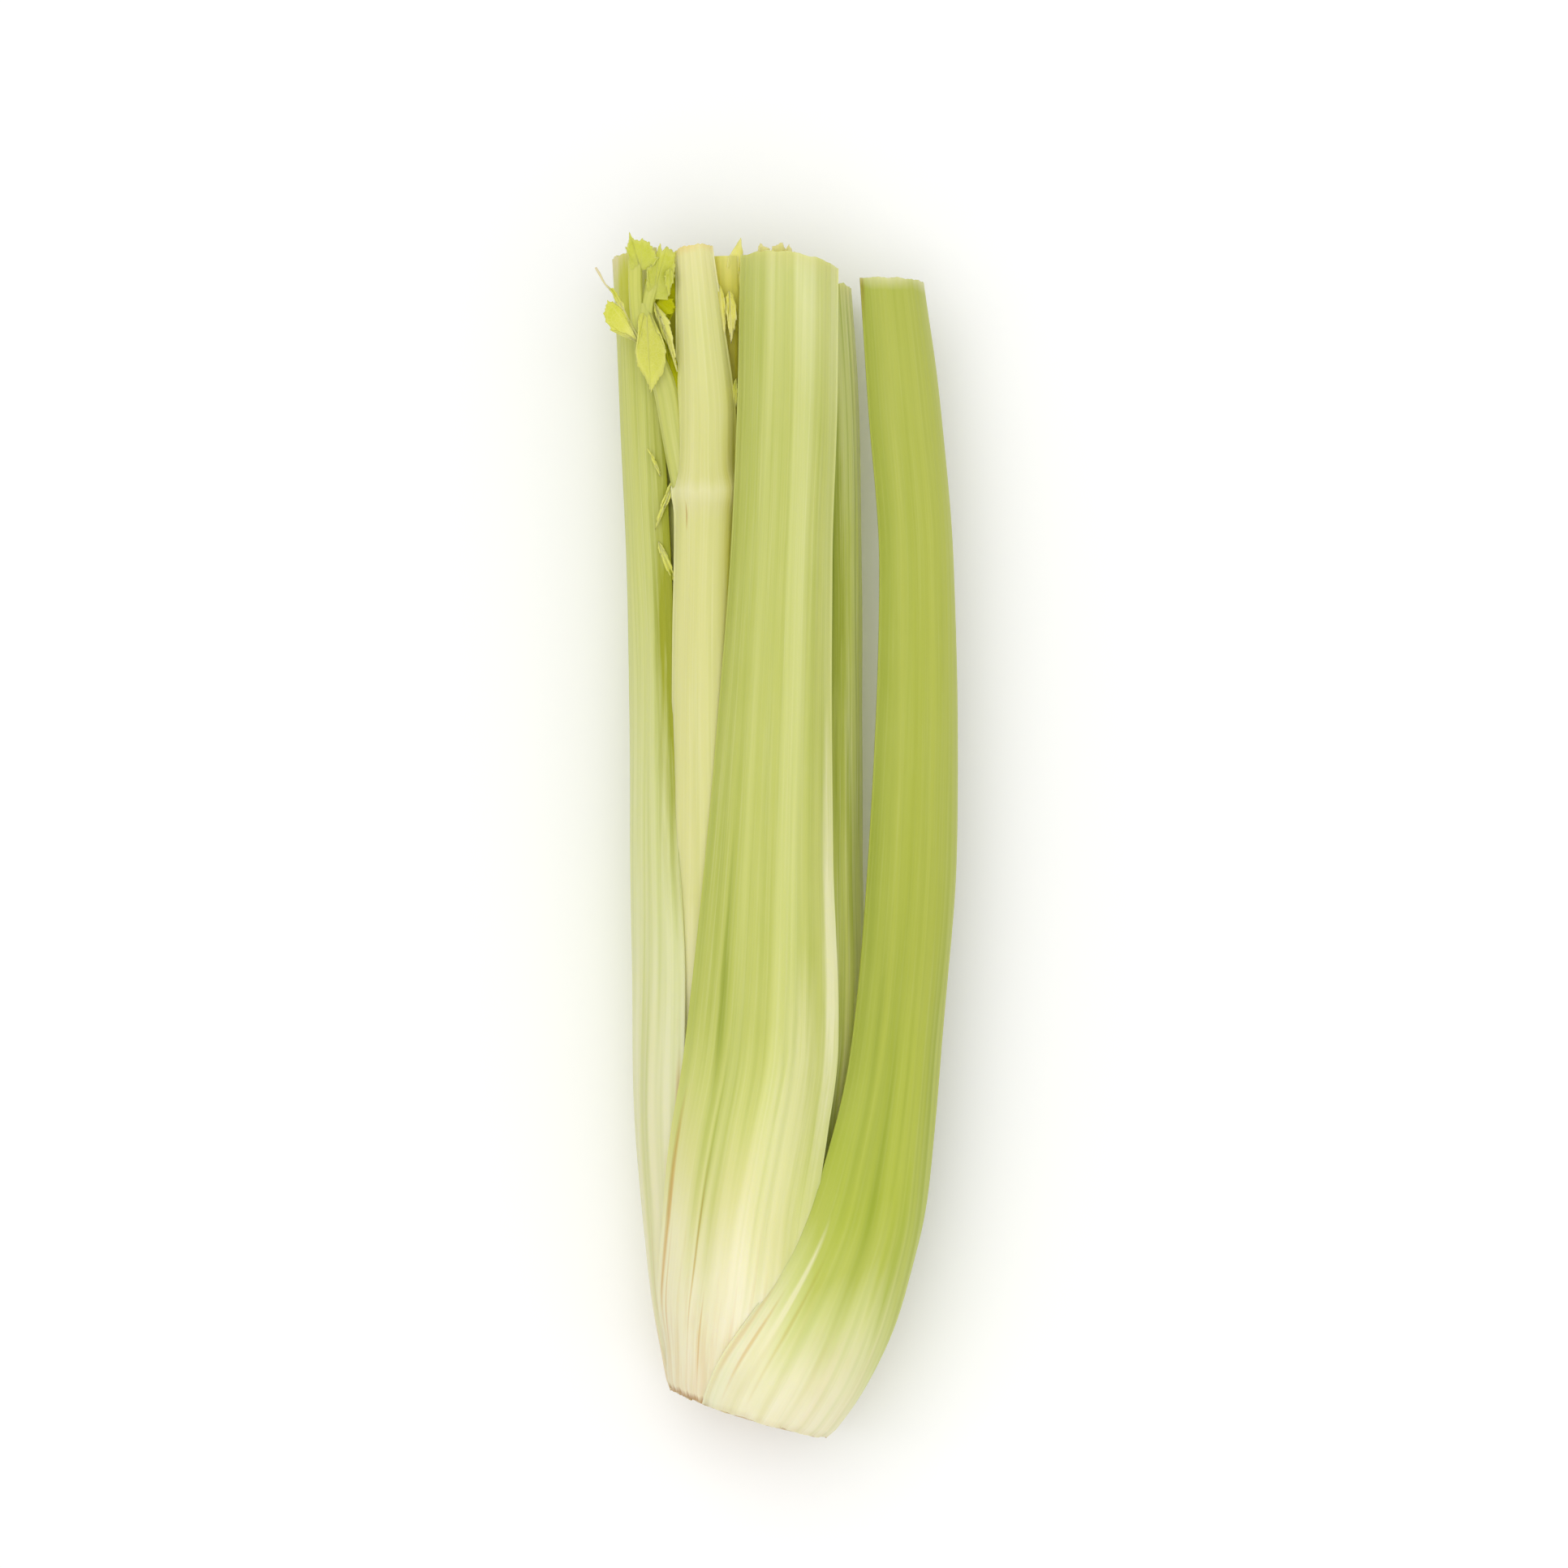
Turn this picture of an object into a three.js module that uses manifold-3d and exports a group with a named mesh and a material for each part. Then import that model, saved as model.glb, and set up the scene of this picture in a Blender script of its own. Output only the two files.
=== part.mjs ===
// A trimmed head of celery, lying on its back stalks. Millimetres.
// +Y runs from the knife cut at the root end to the trimmed top, +X is to the right and +Z is up.
// Z = 0 is the surface that the head lies on, and the origin is on the flat strip under its back right stalk.
// Each stalk is one leaf stem: a ribbed band that is bent into a gutter, broad and thin where it wraps
// the root end, narrower and thicker further up. The heart stalks are small and round.
import * as THREE from "three";
import { mergeVertices } from "three/addons/utils/BufferGeometryUtils.js";
import Module from "manifold-3d";

const wasm = await Module();
wasm.setup();

// ---- Driving dimensions ----
const rootCentre = new THREE.Vector3(-16.1, -147.4, 29); // middle of the knife cut across the root end
const rootLean = THREE.MathUtils.degToRad(17); // the root end leans this far from +Y towards +X
const leanFades = 45; // above the cut, a stalk's sections turn square to +Y over this length
const crownRadius = 20; // the solid root plate that the inner stalks grow from
const crownHeight = 13;
const clearance = 0.35; // gap kept between neighbours
const broadStep = 20; // spacing of the sections along a broad stalk
const slimStep = 30; // and along a heart stalk
const marginShare = 0.22; // thickness of a stalk's margins, as a share of its middle
const thinnestMargin = 1.4;
const ribsGrowOver = 30; // the ribs rise to their full height over this length above the cut
const slantOver = 25; // a trimmed end's slant fades out over this length below it
const bladeThickness = 0.8;
const narrowestBlade = 0.9;
const toothStep = 8; // length of a blade for each pair of teeth
const toothDepth = 0.16; // how deep the teeth of a leaf are, as a share of its half width

const up = new THREE.Vector3(0, 0, 1);
const rootAxis = new THREE.Vector3(Math.sin(rootLean), Math.cos(rootLean), 0);

// ---- Stalks, from the outside of the head to its heart ----
// root: [height above the cut, arc radius, half angle, facing, thickness], its arc centred on the root axis.
// run:  [y, arc centre x, arc centre z, arc radius, half angle, facing, thickness], further and further up.
// The last row of run is the trimmed end. Facing is where the ribbed back looks: 0 is +X and 90 is +Z.
// slant: how far the trimmed end leans, as [mm of y for each mm of z, mm of y for each mm of x].
const stalks = [
  {
    name: "stalk_right",
    root: [0, 24.2, 80, 43, 6.6],
    run: [
      [-133, -10.9, 29.2, 29.2, 73, 43, 6.8],
      [-118, -3, 29.5, 29.6, 66, 47, 6.6],
      [-98, 6, 29.2, 26.6, 60, 49, 6.4],
      [-80, 11.9, 29, 23.6, 56, 52, 6.4],
      [-46, 18.5, 28.5, 20, 52.5, 53.5, 6.6],
      [11.5, 24.6, 28, 18.2, 55, 55, 6.8],
      [92, 26.7, 27.5, 15.4, 55, 55, 6.8],
      [138, 23.3, 27, 14.9, 55, 55, 6.4],
      [173.6, 20, 27, 13.6, 53, 54.5, 6],
    ],
    slant: [0.06, 0],
    ribs: 9,
    ribHeight: 0.55,
    colour: "#b5bd58",
  },
  {
    name: "stalk_front",
    root: [0.3, 24, 52, 120, 5.2],
    run: [
      [-133, -14.3, 28.6, 26.6, 52, 117, 4.8],
      [-115, -14.2, 27.5, 29, 50, 110, 5],
      [-92, -14.5, 28.3, 29.2, 48, 103, 5.4],
      [-69, -14.2, 28.5, 30.4, 46, 95, 5.8],
      [-43.7, -12, 32.2, 29, 47, 91, 6.4],
      [11.5, -10.1, 37.5, 22.2, 52, 90, 7],
      [92, -6.9, 42, 16.5, 58, 90, 7.4],
      [138, -5.1, 42, 15.8, 60, 90, 7],
      [179.8, -4.4, 41.3, 15.4, 60, 90, 6.6],
    ],
    slant: [0.3, -0.12],
    ribs: 10,
    ribHeight: 0.6,
    colour: "#c9ce74",
  },
  {
    name: "stalk_left",
    root: [0, 23, 50, 190, 5],
    run: [
      [-131, -17.2, 27.4, 25.4, 52, 188, 5.1],
      [-115, -18.6, 26.5, 25.6, 52, 186, 5.2],
      [-69, -23.6, 26, 24.5, 56, 177, 5.4],
      [-23, -26.9, 27.6, 21.9, 54, 168, 5.6],
      [11.5, -31.5, 28.5, 18, 53, 160, 6],
      [76, -36.1, 28, 14, 56, 153, 6.2],
      [138, -39.2, 28.5, 13.5, 56, 152, 6],
      [180.4, -41.6, 29, 12.8, 56, 150, 5.6],
    ],
    slant: [0.1, 0.1],
    ribs: 8,
    ribHeight: 0.5,
    colour: "#c8cc79",
  },
  {
    name: "stalk_back_left",
    root: [0, 24, 50, 247, 5.4],
    run: [
      [-132, -14.8, 28.2, 26.8, 50, 246, 5.4],
      [-115, -15, 27.4, 27.8, 51, 245, 5.4],
      [-69, -18.5, 25.4, 26, 53, 244, 5.6],
      [-23, -23, 21.7, 22.4, 56, 244, 5.8],
      [14, -26.5, 17.7, 18.5, 56, 240, 6.4],
      [92, -31.5, 15.2, 16, 57, 236, 6.8],
      [172, -33, 15, 15.2, 57, 235, 6.2],
    ],
    slant: [0.1, 0],
    ribs: 9,
    ribHeight: 0.5,
    colour: "#c6cb7c",
  },
  {
    name: "stalk_back_right",
    root: [0, 22.4, 44, 320, 5],
    run: [
      [-132, -12, 28.5, 25, 45, 319, 5],
      [-115, -6.5, 28.4, 26, 47, 315, 5],
      [-69, -2, 23.5, 23, 53, 300, 5.6],
      [-46, 0, 20, 20.4, 57, 290, 6],
      [-20, 0, 17.2, 18, 59, 286, 6.4],
      [11.5, 0, 16.2, 17, 60, 282, 6.8],
      [92, 0, 15.2, 16, 60, 282, 6.8],
      [170.6, -1.2, 15, 14.2, 60, 282, 6.2],
    ],
    slant: [0.1, 0.05],
    ribs: 9,
    ribHeight: 0.5,
    colour: "#bcc468",
  },
  {
    name: "stalk_inner_right",
    root: [7, 18, 46, 18, 4.6],
    run: [
      [-112, -9, 30, 19.5, 48, 24, 4.8],
      [-69, -5, 31, 18, 52, 30, 5.2],
      [-40, 0.6, 32, 16.2, 56, 36, 5.6],
      [11.5, 1, 31, 15.3, 58, 35, 6],
      [92, 1.1, 31, 15, 58, 35, 6.2],
      [138, 0.7, 31, 14.5, 58, 35, 6],
      [171.8, -0.6, 31, 13.5, 58, 35, 5.6],
    ],
    slant: [0.1, 0.05],
    ribs: 8,
    ribHeight: 0.5,
    colour: "#aeb564",
  },
  {
    name: "stalk_inner_left",
    root: [9, 16.6, 44, 125, 4.8],
    run: [
      [-112, -14, 31, 19, 42, 119, 5],
      [-69, -20.5, 33, 17, 46, 112, 5.4],
      [-43.7, -25.3, 35.5, 13.5, 50, 108, 6],
      [11.5, -27, 39, 11, 62, 98, 7],
      [70, -27.9, 41, 9.5, 66, 95, 8],
      [107, -27.7, 41, 9.3, 68, 94, 8.6],
      [113.5, -27.6, 41, 10, 70, 94, 9.4],
      [121, -27.8, 41.4, 8.8, 69, 94, 8.8],
      [138, -27.8, 42.4, 8.5, 69, 94, 8.4],
      [161, -29.5, 44, 6.9, 69, 94, 7.6],
      [182.2, -31.3, 45.8, 5.4, 68, 94, 6.8],
    ],
    slant: [0.22, 0.12],
    knuckle: 114,
    ribs: 6,
    ribHeight: 0.35,
    colour: "#dcda96",
  },
  {
    name: "stalk_inner_back",
    root: [7, 17.6, 46, 262, 4.6],
    run: [
      [-112, -12.5, 28.5, 18, 48, 262, 4.8],
      [-69, -13, 27, 17, 52, 262, 5],
      [11.5, -16, 25, 14, 56, 262, 5.6],
      [92, -16, 24.5, 13, 58, 262, 6],
      [177, -17, 24, 12, 58, 262, 5.4],
    ],
    slant: [-0.1, 0.05],
    ribs: 6,
    ribHeight: 0.4,
    colour: "#d3d488",
  },
  {
    name: "heart_stalk_left",
    root: [12, 7, 60, 150, 4],
    run: [
      [-110, -18, 31.5, 5.5, 62, 140, 4.6],
      [-60, -23, 31, 4.6, 66, 125, 5],
      [0, -29, 30.6, 4.2, 70, 115, 5.2],
      [60, -33.6, 32.6, 3.8, 72, 110, 5.2],
      [96, -35.4, 35.4, 3.2, 74, 110, 4.6],
      [122, -37, 37.4, 2.4, 75, 110, 3.8],
    ],
    slant: [0, 0],
    ribs: 3,
    ribHeight: 0.15,
    colour: "#c9cb79",
  },
  {
    name: "heart_stalk_front",
    root: [13, 6, 55, 30, 4],
    run: [
      [-110, -9.5, 34, 5.6, 60, 50, 4.6],
      [-60, -9.5, 34.5, 5, 66, 60, 5],
      [0, -9, 36, 4.6, 68, 70, 5.2],
      [92, -8, 38, 4.5, 70, 75, 5.2],
      [176, -8.4, 39, 4.2, 70, 80, 5],
    ],
    slant: [0.1, 0],
    ribs: 3,
    ribHeight: 0.15,
    colour: "#dcdb90",
  },
  {
    name: "heart_stalk_back",
    root: [13, 6, 55, 300, 4],
    run: [
      [-110, -11, 26, 5.4, 60, 292, 4.4],
      [-60, -9.5, 26, 4.8, 66, 300, 4.8],
      [0, -8, 26.4, 4.5, 68, 305, 5],
      [92, -7.5, 27.2, 4.4, 70, 310, 5],
      [163, -8.5, 27.5, 4, 70, 310, 4.8],
    ],
    slant: [-0.1, 0],
    ribs: 3,
    ribHeight: 0.15,
    colour: "#e0de9c",
  },
  {
    name: "heart_stalk_outer",
    root: [13, 6, 55, 215, 4],
    run: [
      [-110, -18.5, 26, 5.4, 60, 215, 4.4],
      [-60, -22, 26, 4.8, 66, 215, 4.8],
      [0, -25.5, 25, 4.5, 68, 212, 5],
      [92, -28, 26.8, 4.4, 70, 210, 5],
      [168, -29, 27, 4, 70, 208, 4.8],
    ],
    slant: [-0.1, 0],
    ribs: 3,
    ribHeight: 0.15,
    colour: "#d9da8c",
  },
];

// ---- Side stems, which branch off a stalk ----
// Each is a list of points from its root, sunk in what carries it: [x, y, z, half width, half height].
const sideStems = {
  stalk_inner_left: [
    [
      [-32.5, 106, 43.5, 2.6, 2.2],
      [-35, 117, 43.6, 3, 2.4],
      [-37.2, 129, 44, 3.1, 2.4],
      [-39.6, 142.6, 45.2, 3.2, 2.4],
      [-43, 152, 46.6, 2.9, 2.2],
      [-45.4, 161, 47.6, 2.7, 2],
      [-46, 166, 48, 2.2, 1.7],
    ],
    [
      [-46.8, 158, 47.4, 1.9, 1.7],
      [-47.6, 167, 48.4, 1.9, 1.6],
      [-47.8, 178, 49.2, 1.9, 0.9],
    ],
    [
      [-44.8, 158, 47.4, 1.9, 1.6],
      [-44.2, 166, 48.2, 1.8, 1.5],
      [-42.7, 172, 48.6, 2, 1.2],
      [-42.2, 177, 48.8, 2.2, 0.9],
    ],
    [
      [-24.5, 108, 45, 2.2, 2],
      [-22, 122, 42.6, 2.6, 2.2],
      [-21.6, 145, 41.4, 2.8, 2.4],
      [-22.4, 179.4, 42.2, 2.9, 2.2],
    ],
  ],
};

// ---- Leaf blades, toothed, each from its root to its tip ----
// [root x, y, z, tip x, y, z, width, arch, fold, roll]: arch is how far the middle stands above the straight
// line, fold how far the two halves rise, in degrees, and roll turns the upper side away from +Z, to +X.
const blades = {
  stalk_inner_left: [
    [-47.2, 173.4, 49, -49.4, 186.2, 51, 5.4, 0.6, 10, -6],
    [-46.2, 173, 49, -43.4, 184.4, 51, 7, 0.7, 10, 6],
    [-42.8, 168, 48.4, -40.6, 183, 50.2, 6.4, 0.7, 10, 4],
    [-42.4, 168, 48.2, -37.2, 181, 49.6, 6, 0.7, 10, 14],
    [-42.4, 168, 47.4, -37.8, 163.6, 46.8, 4.2, 0.5, 14, 0],
    [-39.4, 167, 48.2, -37, 176.6, 49, 2.6, 0.4, 24, -20],
    [-46.2, 154.8, 47.8, -57.2, 163.2, 50.2, 6.6, 0.8, 12, -8],
    [-46.4, 155.4, 48, -55.8, 166.4, 50.6, 3.8, 0.7, 14, 8],
    [-50.4, 163.6, 49.4, -55.3, 170.8, 51.4, 2, 0.3, 20, 30],
    [-46.6, 155.8, 48.2, -59, 176.2, 51.6, 1.5, 0.8, 10, 0],
    [-44.8, 164, 48.2, -43.4, 141.4, 49.8, 7.2, 0.9, 10, 4],
    [-37.2, 148, 46.4, -42.6, 167, 49, 2, 0.5, 20, 40],
    [-37, 152, 46.8, -41.2, 166.4, 48.6, 1.8, 0.5, 20, 50],
    [-22.4, 160, 43.4, -18.4, 185.6, 46, 4.4, 0.6, 20, -10],
    [-22.8, 165, 43.6, -20.6, 181, 45.6, 3.6, 0.5, 20, 10],
    [-20.6, 124, 43.4, -20.8, 143, 45.4, 2, 0.5, 20, 0],
  ],
  heart_stalk_left: [
    [-36.6, 117, 38.8, -41.2, 101.4, 41.6, 2.6, 0.6, 16, 20],
    [-36.8, 98, 37.6, -44.6, 126, 43, 2.8, -0.8, 16, 30],
    [-34.8, 80, 36.4, -41.4, 99.4, 41, 2.6, 0.5, 16, 20],
    [-35, 88, 37.6, -38.6, 95, 41.4, 2.2, 0.3, 16, 10],
  ],
  heart_stalk_front: [
    [-9.2, 170, 42, -12.6, 183.4, 46.4, 4.4, 0.5, 14, 0],
    [-8.4, 171, 42.4, -8, 183.6, 47, 4.6, 0.5, 14, 0],
    [-7.4, 170, 42, -3.8, 182.4, 46.6, 4.4, 0.5, 14, 0],
  ],
  heart_stalk_back: [
    [-8.4, 158, 28.4, -9.6, 172, 31.6, 5, 0.8, 16, 0],
    [-7.6, 157, 27.4, -3.4, 168, 28.4, 4.4, 0.8, 16, 40],
  ],
  heart_stalk_outer: [
    [-29.6, 163, 27.6, -30.4, 177, 30.6, 5, 0.8, 16, 0],
    [-30, 162, 26.8, -34, 173, 27.4, 4.4, 0.8, 16, -40],
  ],
};

// ---- Shared geometry ----
const radians = THREE.MathUtils.degToRad;

// The value of column c at y, by a cubic through the rows whose slopes are those of the neighbours' chords.
function columnAt(rows, y, c) {
  const last = rows.length - 1;
  let i = 0;
  while (i < last - 1 && y > rows[i + 1][0]) i++;
  const slopeAt = (k) => {
    const before = rows[Math.max(0, k - 1)];
    const after = rows[Math.min(last, k + 1)];
    return (after[c] - before[c]) / (after[0] - before[0]);
  };
  const [a, b] = [rows[i], rows[i + 1]];
  const h = b[0] - a[0];
  const t = (y - a[0]) / h;
  const rise = t * t * (3 - 2 * t);
  const leave = h * slopeAt(i) * t * (1 - t) * (1 - t);
  const arrive = h * slopeAt(i + 1) * t * t * (t - 1);
  return a[c] + (b[c] - a[c]) * rise + leave + arrive;
}

// The broad stalks have more ribs than the heart stalks, and closer sections.
function isBroad(stalk) {
  return stalk.ribs > 4;
}

// A stalk's rows, with its root as the first of them.
function rowsOf(stalk) {
  const [height, ...arc] = stalk.root;
  const foot = rootCentre.clone().addScaledVector(rootAxis, height);
  return [[foot.y, foot.x, foot.z, ...arc], ...stalk.run];
}

// Rounded ribs with sharp furrows between them, from -0.5 to 0.5, for share from -1 to 1 across the back.
function ribAt(share, ribs) {
  return (Math.abs(Math.cos((Math.PI * ribs * share) / 2)) ** 0.8 - 0.5) * (1 - share ** 8);
}

// The outline of a stalk's section: the ribbed back, a margin, the inner side and the other margin.
// x is across the band and y is towards its back, both from the middle of the back.
function sectionOutline(radius, phi, thickness, relief, ribs, innerSteps) {
  const margin = Math.max(thinnestMargin, thickness * marginShare);
  const sag = radius * (1 - Math.cos(phi));
  const halfWidth = radius * Math.sin(phi);
  const innerWidth = halfWidth - 0.8 * margin;
  const outline = [];
  for (let i = 0; i <= 2 * ribs; i++) {
    const share = -1 + i / ribs;
    const r = radius + relief * ribAt(share, ribs);
    outline.push(new THREE.Vector2(r * Math.sin(share * phi), r * Math.cos(share * phi) - radius));
  }
  outline.push(new THREE.Vector2(halfWidth + 0.25 * margin, -sag - 0.35 * margin));
  for (let i = 0; i <= innerSteps; i++) {
    const share = 1 - (2 * i) / innerSteps;
    const down = (1 - Math.cos(share * phi)) / (1 - Math.cos(phi));
    const depth = thickness + (sag + 0.8 * margin - thickness) * down;
    outline.push(new THREE.Vector2((innerWidth * Math.sin(share * phi)) / Math.sin(phi), -depth));
  }
  outline.push(new THREE.Vector2(-halfWidth - 0.25 * margin, -sag - 0.35 * margin));
  return outline;
}

// A clockwise outline with each corner moved outwards, so that its sides all move by the distance.
function grown(outline, distance) {
  return outline.map((p, i) => {
    const before = p.clone().sub(outline.at(i - 1)).normalize();
    const after = outline[(i + 1) % outline.length].clone().sub(p).normalize();
    const outward = new THREE.Vector2(-before.y - after.y, before.x + after.x);
    return p.clone().addScaledVector(outward, distance / Math.max(0.5, 1 + before.dot(after)));
  });
}

// Moves each point of an end ring on, in line with the point before it.
function lengthen(ring, before, distance) {
  ring.forEach((p, i) => p.add(p.clone().sub(before[i]).setLength(distance)));
}

// Triangles that fill a ring, found in the plane that fits it.
function capFaces(ring) {
  const normal = new THREE.Vector3();
  ring.forEach((p, i) => normal.add(new THREE.Vector3().crossVectors(p, ring[(i + 1) % ring.length])));
  normal.normalize();
  const e1 = new THREE.Vector3().subVectors(ring[1], ring[0]).projectOnPlane(normal).normalize();
  const e2 = new THREE.Vector3().crossVectors(normal, e1);
  const flat = ring.map((p) => new THREE.Vector2(p.dot(e1), p.dot(e2)));
  return THREE.ShapeUtils.triangulateShape(flat, []);
}

// A solid from its points and faces, turned so that the faces look outwards.
function solidOf(points, faces) {
  const mesh = new wasm.Mesh({
    numProp: 3,
    vertProperties: new Float32Array(points.flatMap((p) => [p.x, p.y, p.z])),
    triVerts: new Uint32Array(faces),
  });
  const made = new wasm.Manifold(mesh);
  if (made.volume() > 0) return made;
  const turned = [];
  for (let i = 0; i < faces.length; i += 3) turned.push(faces[i], faces[i + 2], faces[i + 1]);
  return solidOf(points, turned);
}

// A closed solid from rings of equally many points, filled at both ends.
function solidFromRings(rings) {
  const size = rings[0].length;
  const faces = [];
  for (let k = 0; k + 1 < rings.length; k++) {
    for (let i = 0; i < size; i++) {
      const [a, b] = [k * size + i, k * size + ((i + 1) % size)];
      faces.push(a, b, a + size, b, b + size, a + size);
    }
  }
  const top = (rings.length - 1) * size;
  for (const [a, b, c] of capFaces(rings[0])) faces.push(a, c, b);
  for (const [a, b, c] of capFaces(rings[rings.length - 1])) faces.push(top + a, top + b, top + c);
  return solidOf(rings.flat(), faces);
}

// ---- Stalks, crown, side stems and blades ----
// grow is 0 for a piece itself, and the clearance for the room that its neighbours leave it.

// One ring of points round a stalk at y.
function stalkRing(stalk, rows, y, grow) {
  const [x, z, radius, half, facing, thickness] = [1, 2, 3, 4, 5, 6].map((c) => columnAt(rows, y, c));
  const [start, end] = [rows[0][0], rows[rows.length - 1][0]];
  const square = THREE.MathUtils.smoothstep(y, start, start + leanFades);
  const along = rootAxis.clone().lerp(new THREE.Vector3(0, 1, 0), square).normalize();
  const across = new THREE.Vector3().crossVectors(along, up).normalize();
  const a = radians(facing);
  const relief = stalk.ribHeight * THREE.MathUtils.smoothstep(y, start, start + ribsGrowOver);
  const atCut = THREE.MathUtils.smoothstep(y, end - slantOver, end);
  const innerSteps = isBroad(stalk) ? 6 : 4;
  const outline = sectionOutline(radius, radians(half), thickness, relief, stalk.ribs, innerSteps);
  return grown(outline, grow).map(({ x: u, y: v }) => {
    const e = (radius + v) * Math.cos(a) - u * Math.sin(a);
    const f = (radius + v) * Math.sin(a) + u * Math.cos(a);
    const p = new THREE.Vector3(x, y, z).addScaledVector(across, e).addScaledVector(up, f);
    p.y += atCut * stalk.slant[0] * (f - radius * Math.sin(a));
    p.y += atCut * stalk.slant[1] * (e - radius * Math.cos(a));
    return p;
  });
}

function stalkSolid(stalk, grow) {
  const rows = rowsOf(stalk);
  const [start, end] = [rows[0][0], rows[rows.length - 1][0]];
  const steps = Math.ceil((end - start) / (isBroad(stalk) ? broadStep : slimStep));
  const stops = Array.from({ length: steps + 1 }, (_, k) => start + ((end - start) * k) / steps);
  if (stalk.knuckle) stops.push(...[-7, -3, 0, 4].map((step) => stalk.knuckle + step));
  const rings = stops.sort((a, b) => a - b).map((y) => stalkRing(stalk, rows, y, grow));
  if (grow) {
    lengthen(rings[0], rings[1], grow * 2);
    lengthen(rings[rings.length - 1], rings[rings.length - 2], grow * 2);
  } else {
    rings.flat().forEach((p) => (p.z = Math.max(0, p.z)));
  }
  return solidFromRings(rings);
}

// The root plate: a lathed plug with its cut face below and a domed top, along the root axis.
function crownSolid(grow) {
  const r = crownRadius + grow;
  const profile = [
    [0, -grow],
    [r - 0.8, -grow],
    [r, 0.8],
    [r * 0.99, crownHeight * 0.45],
    [r * 0.86, crownHeight * 0.72],
    [r * 0.5, crownHeight * 0.93],
    [0, crownHeight + grow],
  ].map(([a, b]) => new THREE.Vector2(a, b));
  const lathe = new THREE.LatheGeometry(profile, 28);
  lathe.deleteAttribute("normal");
  lathe.deleteAttribute("uv");
  lathe.rotateZ(-rootLean);
  lathe.translate(...rootCentre.toArray());
  const merged = mergeVertices(lathe, 1e-4);
  const position = merged.getAttribute("position");
  const points = Array.from({ length: position.count }, (_, i) =>
    new THREE.Vector3().fromBufferAttribute(position, i),
  );
  const faces = [];
  const index = merged.index.array;
  for (let i = 0; i < index.length; i += 3) {
    const [a, b, c] = [index[i], index[i + 1], index[i + 2]];
    if (a !== b && b !== c && a !== c) faces.push(a, b, c);
  }
  return solidOf(points, faces);
}

// A side stem: oval sections along a smooth curve through its points.
function sideStemSolid(points, grow) {
  const sides = 8;
  const curve = new THREE.CatmullRomCurve3(points.map(([x, y, z]) => new THREE.Vector3(x, y, z)));
  const girth = new THREE.CatmullRomCurve3(points.map(([, , , w, h]) => new THREE.Vector3(w, h, 0)));
  const steps = 2 * (points.length - 1);
  const rings = [];
  for (let k = 0; k <= steps; k++) {
    const along = curve.getTangent(k / steps);
    const across = new THREE.Vector3().crossVectors(along, up).normalize();
    const over = new THREE.Vector3().crossVectors(across, along);
    const { x: w, y: h } = girth.getPoint(k / steps);
    const ring = [];
    for (let i = 0; i < sides; i++) {
      const turn = (2 * Math.PI * i) / sides;
      const p = curve.getPoint(k / steps);
      p.addScaledVector(across, (w + grow) * Math.cos(turn));
      ring.push(p.addScaledVector(over, (h + grow) * Math.sin(turn)));
    }
    rings.push(ring);
  }
  if (grow) lengthen(rings[steps], rings[steps - 1], grow);
  return solidFromRings(rings);
}

// A blade: ever narrower rungs across an arched midrib, with every other rung drawn in between two teeth.
function bladeSolid([ax, ay, az, bx, by, bz, width, arch, fold, roll], grow) {
  const root = new THREE.Vector3(ax, ay, az);
  const run = new THREE.Vector3(bx, by, bz).sub(root);
  const along = run.clone().normalize();
  const face = up.clone().projectOnPlane(along).normalize().applyAxisAngle(along, radians(roll));
  const side = new THREE.Vector3().crossVectors(along, face);
  const rungs = 2 * Math.max(1, Math.round(run.length() / toothStep)) + 1;
  const rings = [];
  for (let i = 0; i <= rungs; i++) {
    const share = i / rungs;
    const swell = Math.sin(Math.PI * (0.12 + 0.86 * share ** 0.9)) ** 0.7;
    const tooth = i > 0 && i < rungs && i % 2 ? 1 + toothDepth : 1 - toothDepth;
    const halfWidth = Math.max(narrowestBlade / 2, (width / 2) * swell * tooth) + grow;
    const middle = root.clone().addScaledVector(run, share);
    middle.addScaledVector(face, arch * 4 * share * (1 - share));
    const half = bladeThickness / 2 + grow;
    const rise = halfWidth * Math.tan(radians(fold));
    const corner = (out, lift) => middle.clone().addScaledVector(side, out).addScaledVector(face, lift);
    rings.push([
      corner(-halfWidth, rise + half),
      corner(0, half),
      corner(halfWidth, rise + half),
      corner(halfWidth, rise - half),
      corner(0, -half),
      corner(-halfWidth, rise - half),
    ]);
  }
  if (grow) lengthen(rings[rungs], rings[rungs - 1], grow);
  return solidFromRings(rings);
}

// ---- Assembly ----
function meshOf(name, solid, colour) {
  const { numProp, numVert, vertProperties, triVerts } = solid.getMesh();
  const position = new Float32Array(numVert * 3);
  for (let i = 0; i < numVert; i++) {
    position.set(vertProperties.subarray(i * numProp, i * numProp + 3), i * 3);
  }
  const geometry = new THREE.BufferGeometry();
  geometry.setAttribute("position", new THREE.BufferAttribute(position, 3));
  geometry.setIndex(new THREE.BufferAttribute(triVerts, 1));
  geometry.computeVertexNormals();
  const mesh = new THREE.Mesh(geometry, new THREE.MeshStandardMaterial({ color: colour, roughness: 0.45 }));
  mesh.name = name;
  return mesh;
}

const head = new THREE.Group();
head.name = "head_of_celery";
const rooms = []; // one for each piece placed so far

// Cuts a solid clear of what is placed already, keeps the biggest body that is left, and adds it to the head.
function place(name, solid, room, colour) {
  const left = rooms.reduce((rest, other) => rest.subtract(other), solid);
  const bodies = left.decompose().sort((a, b) => b.volume() - a.volume());
  head.add(meshOf(name, bodies[0], colour));
  rooms.push(room);
}

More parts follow.
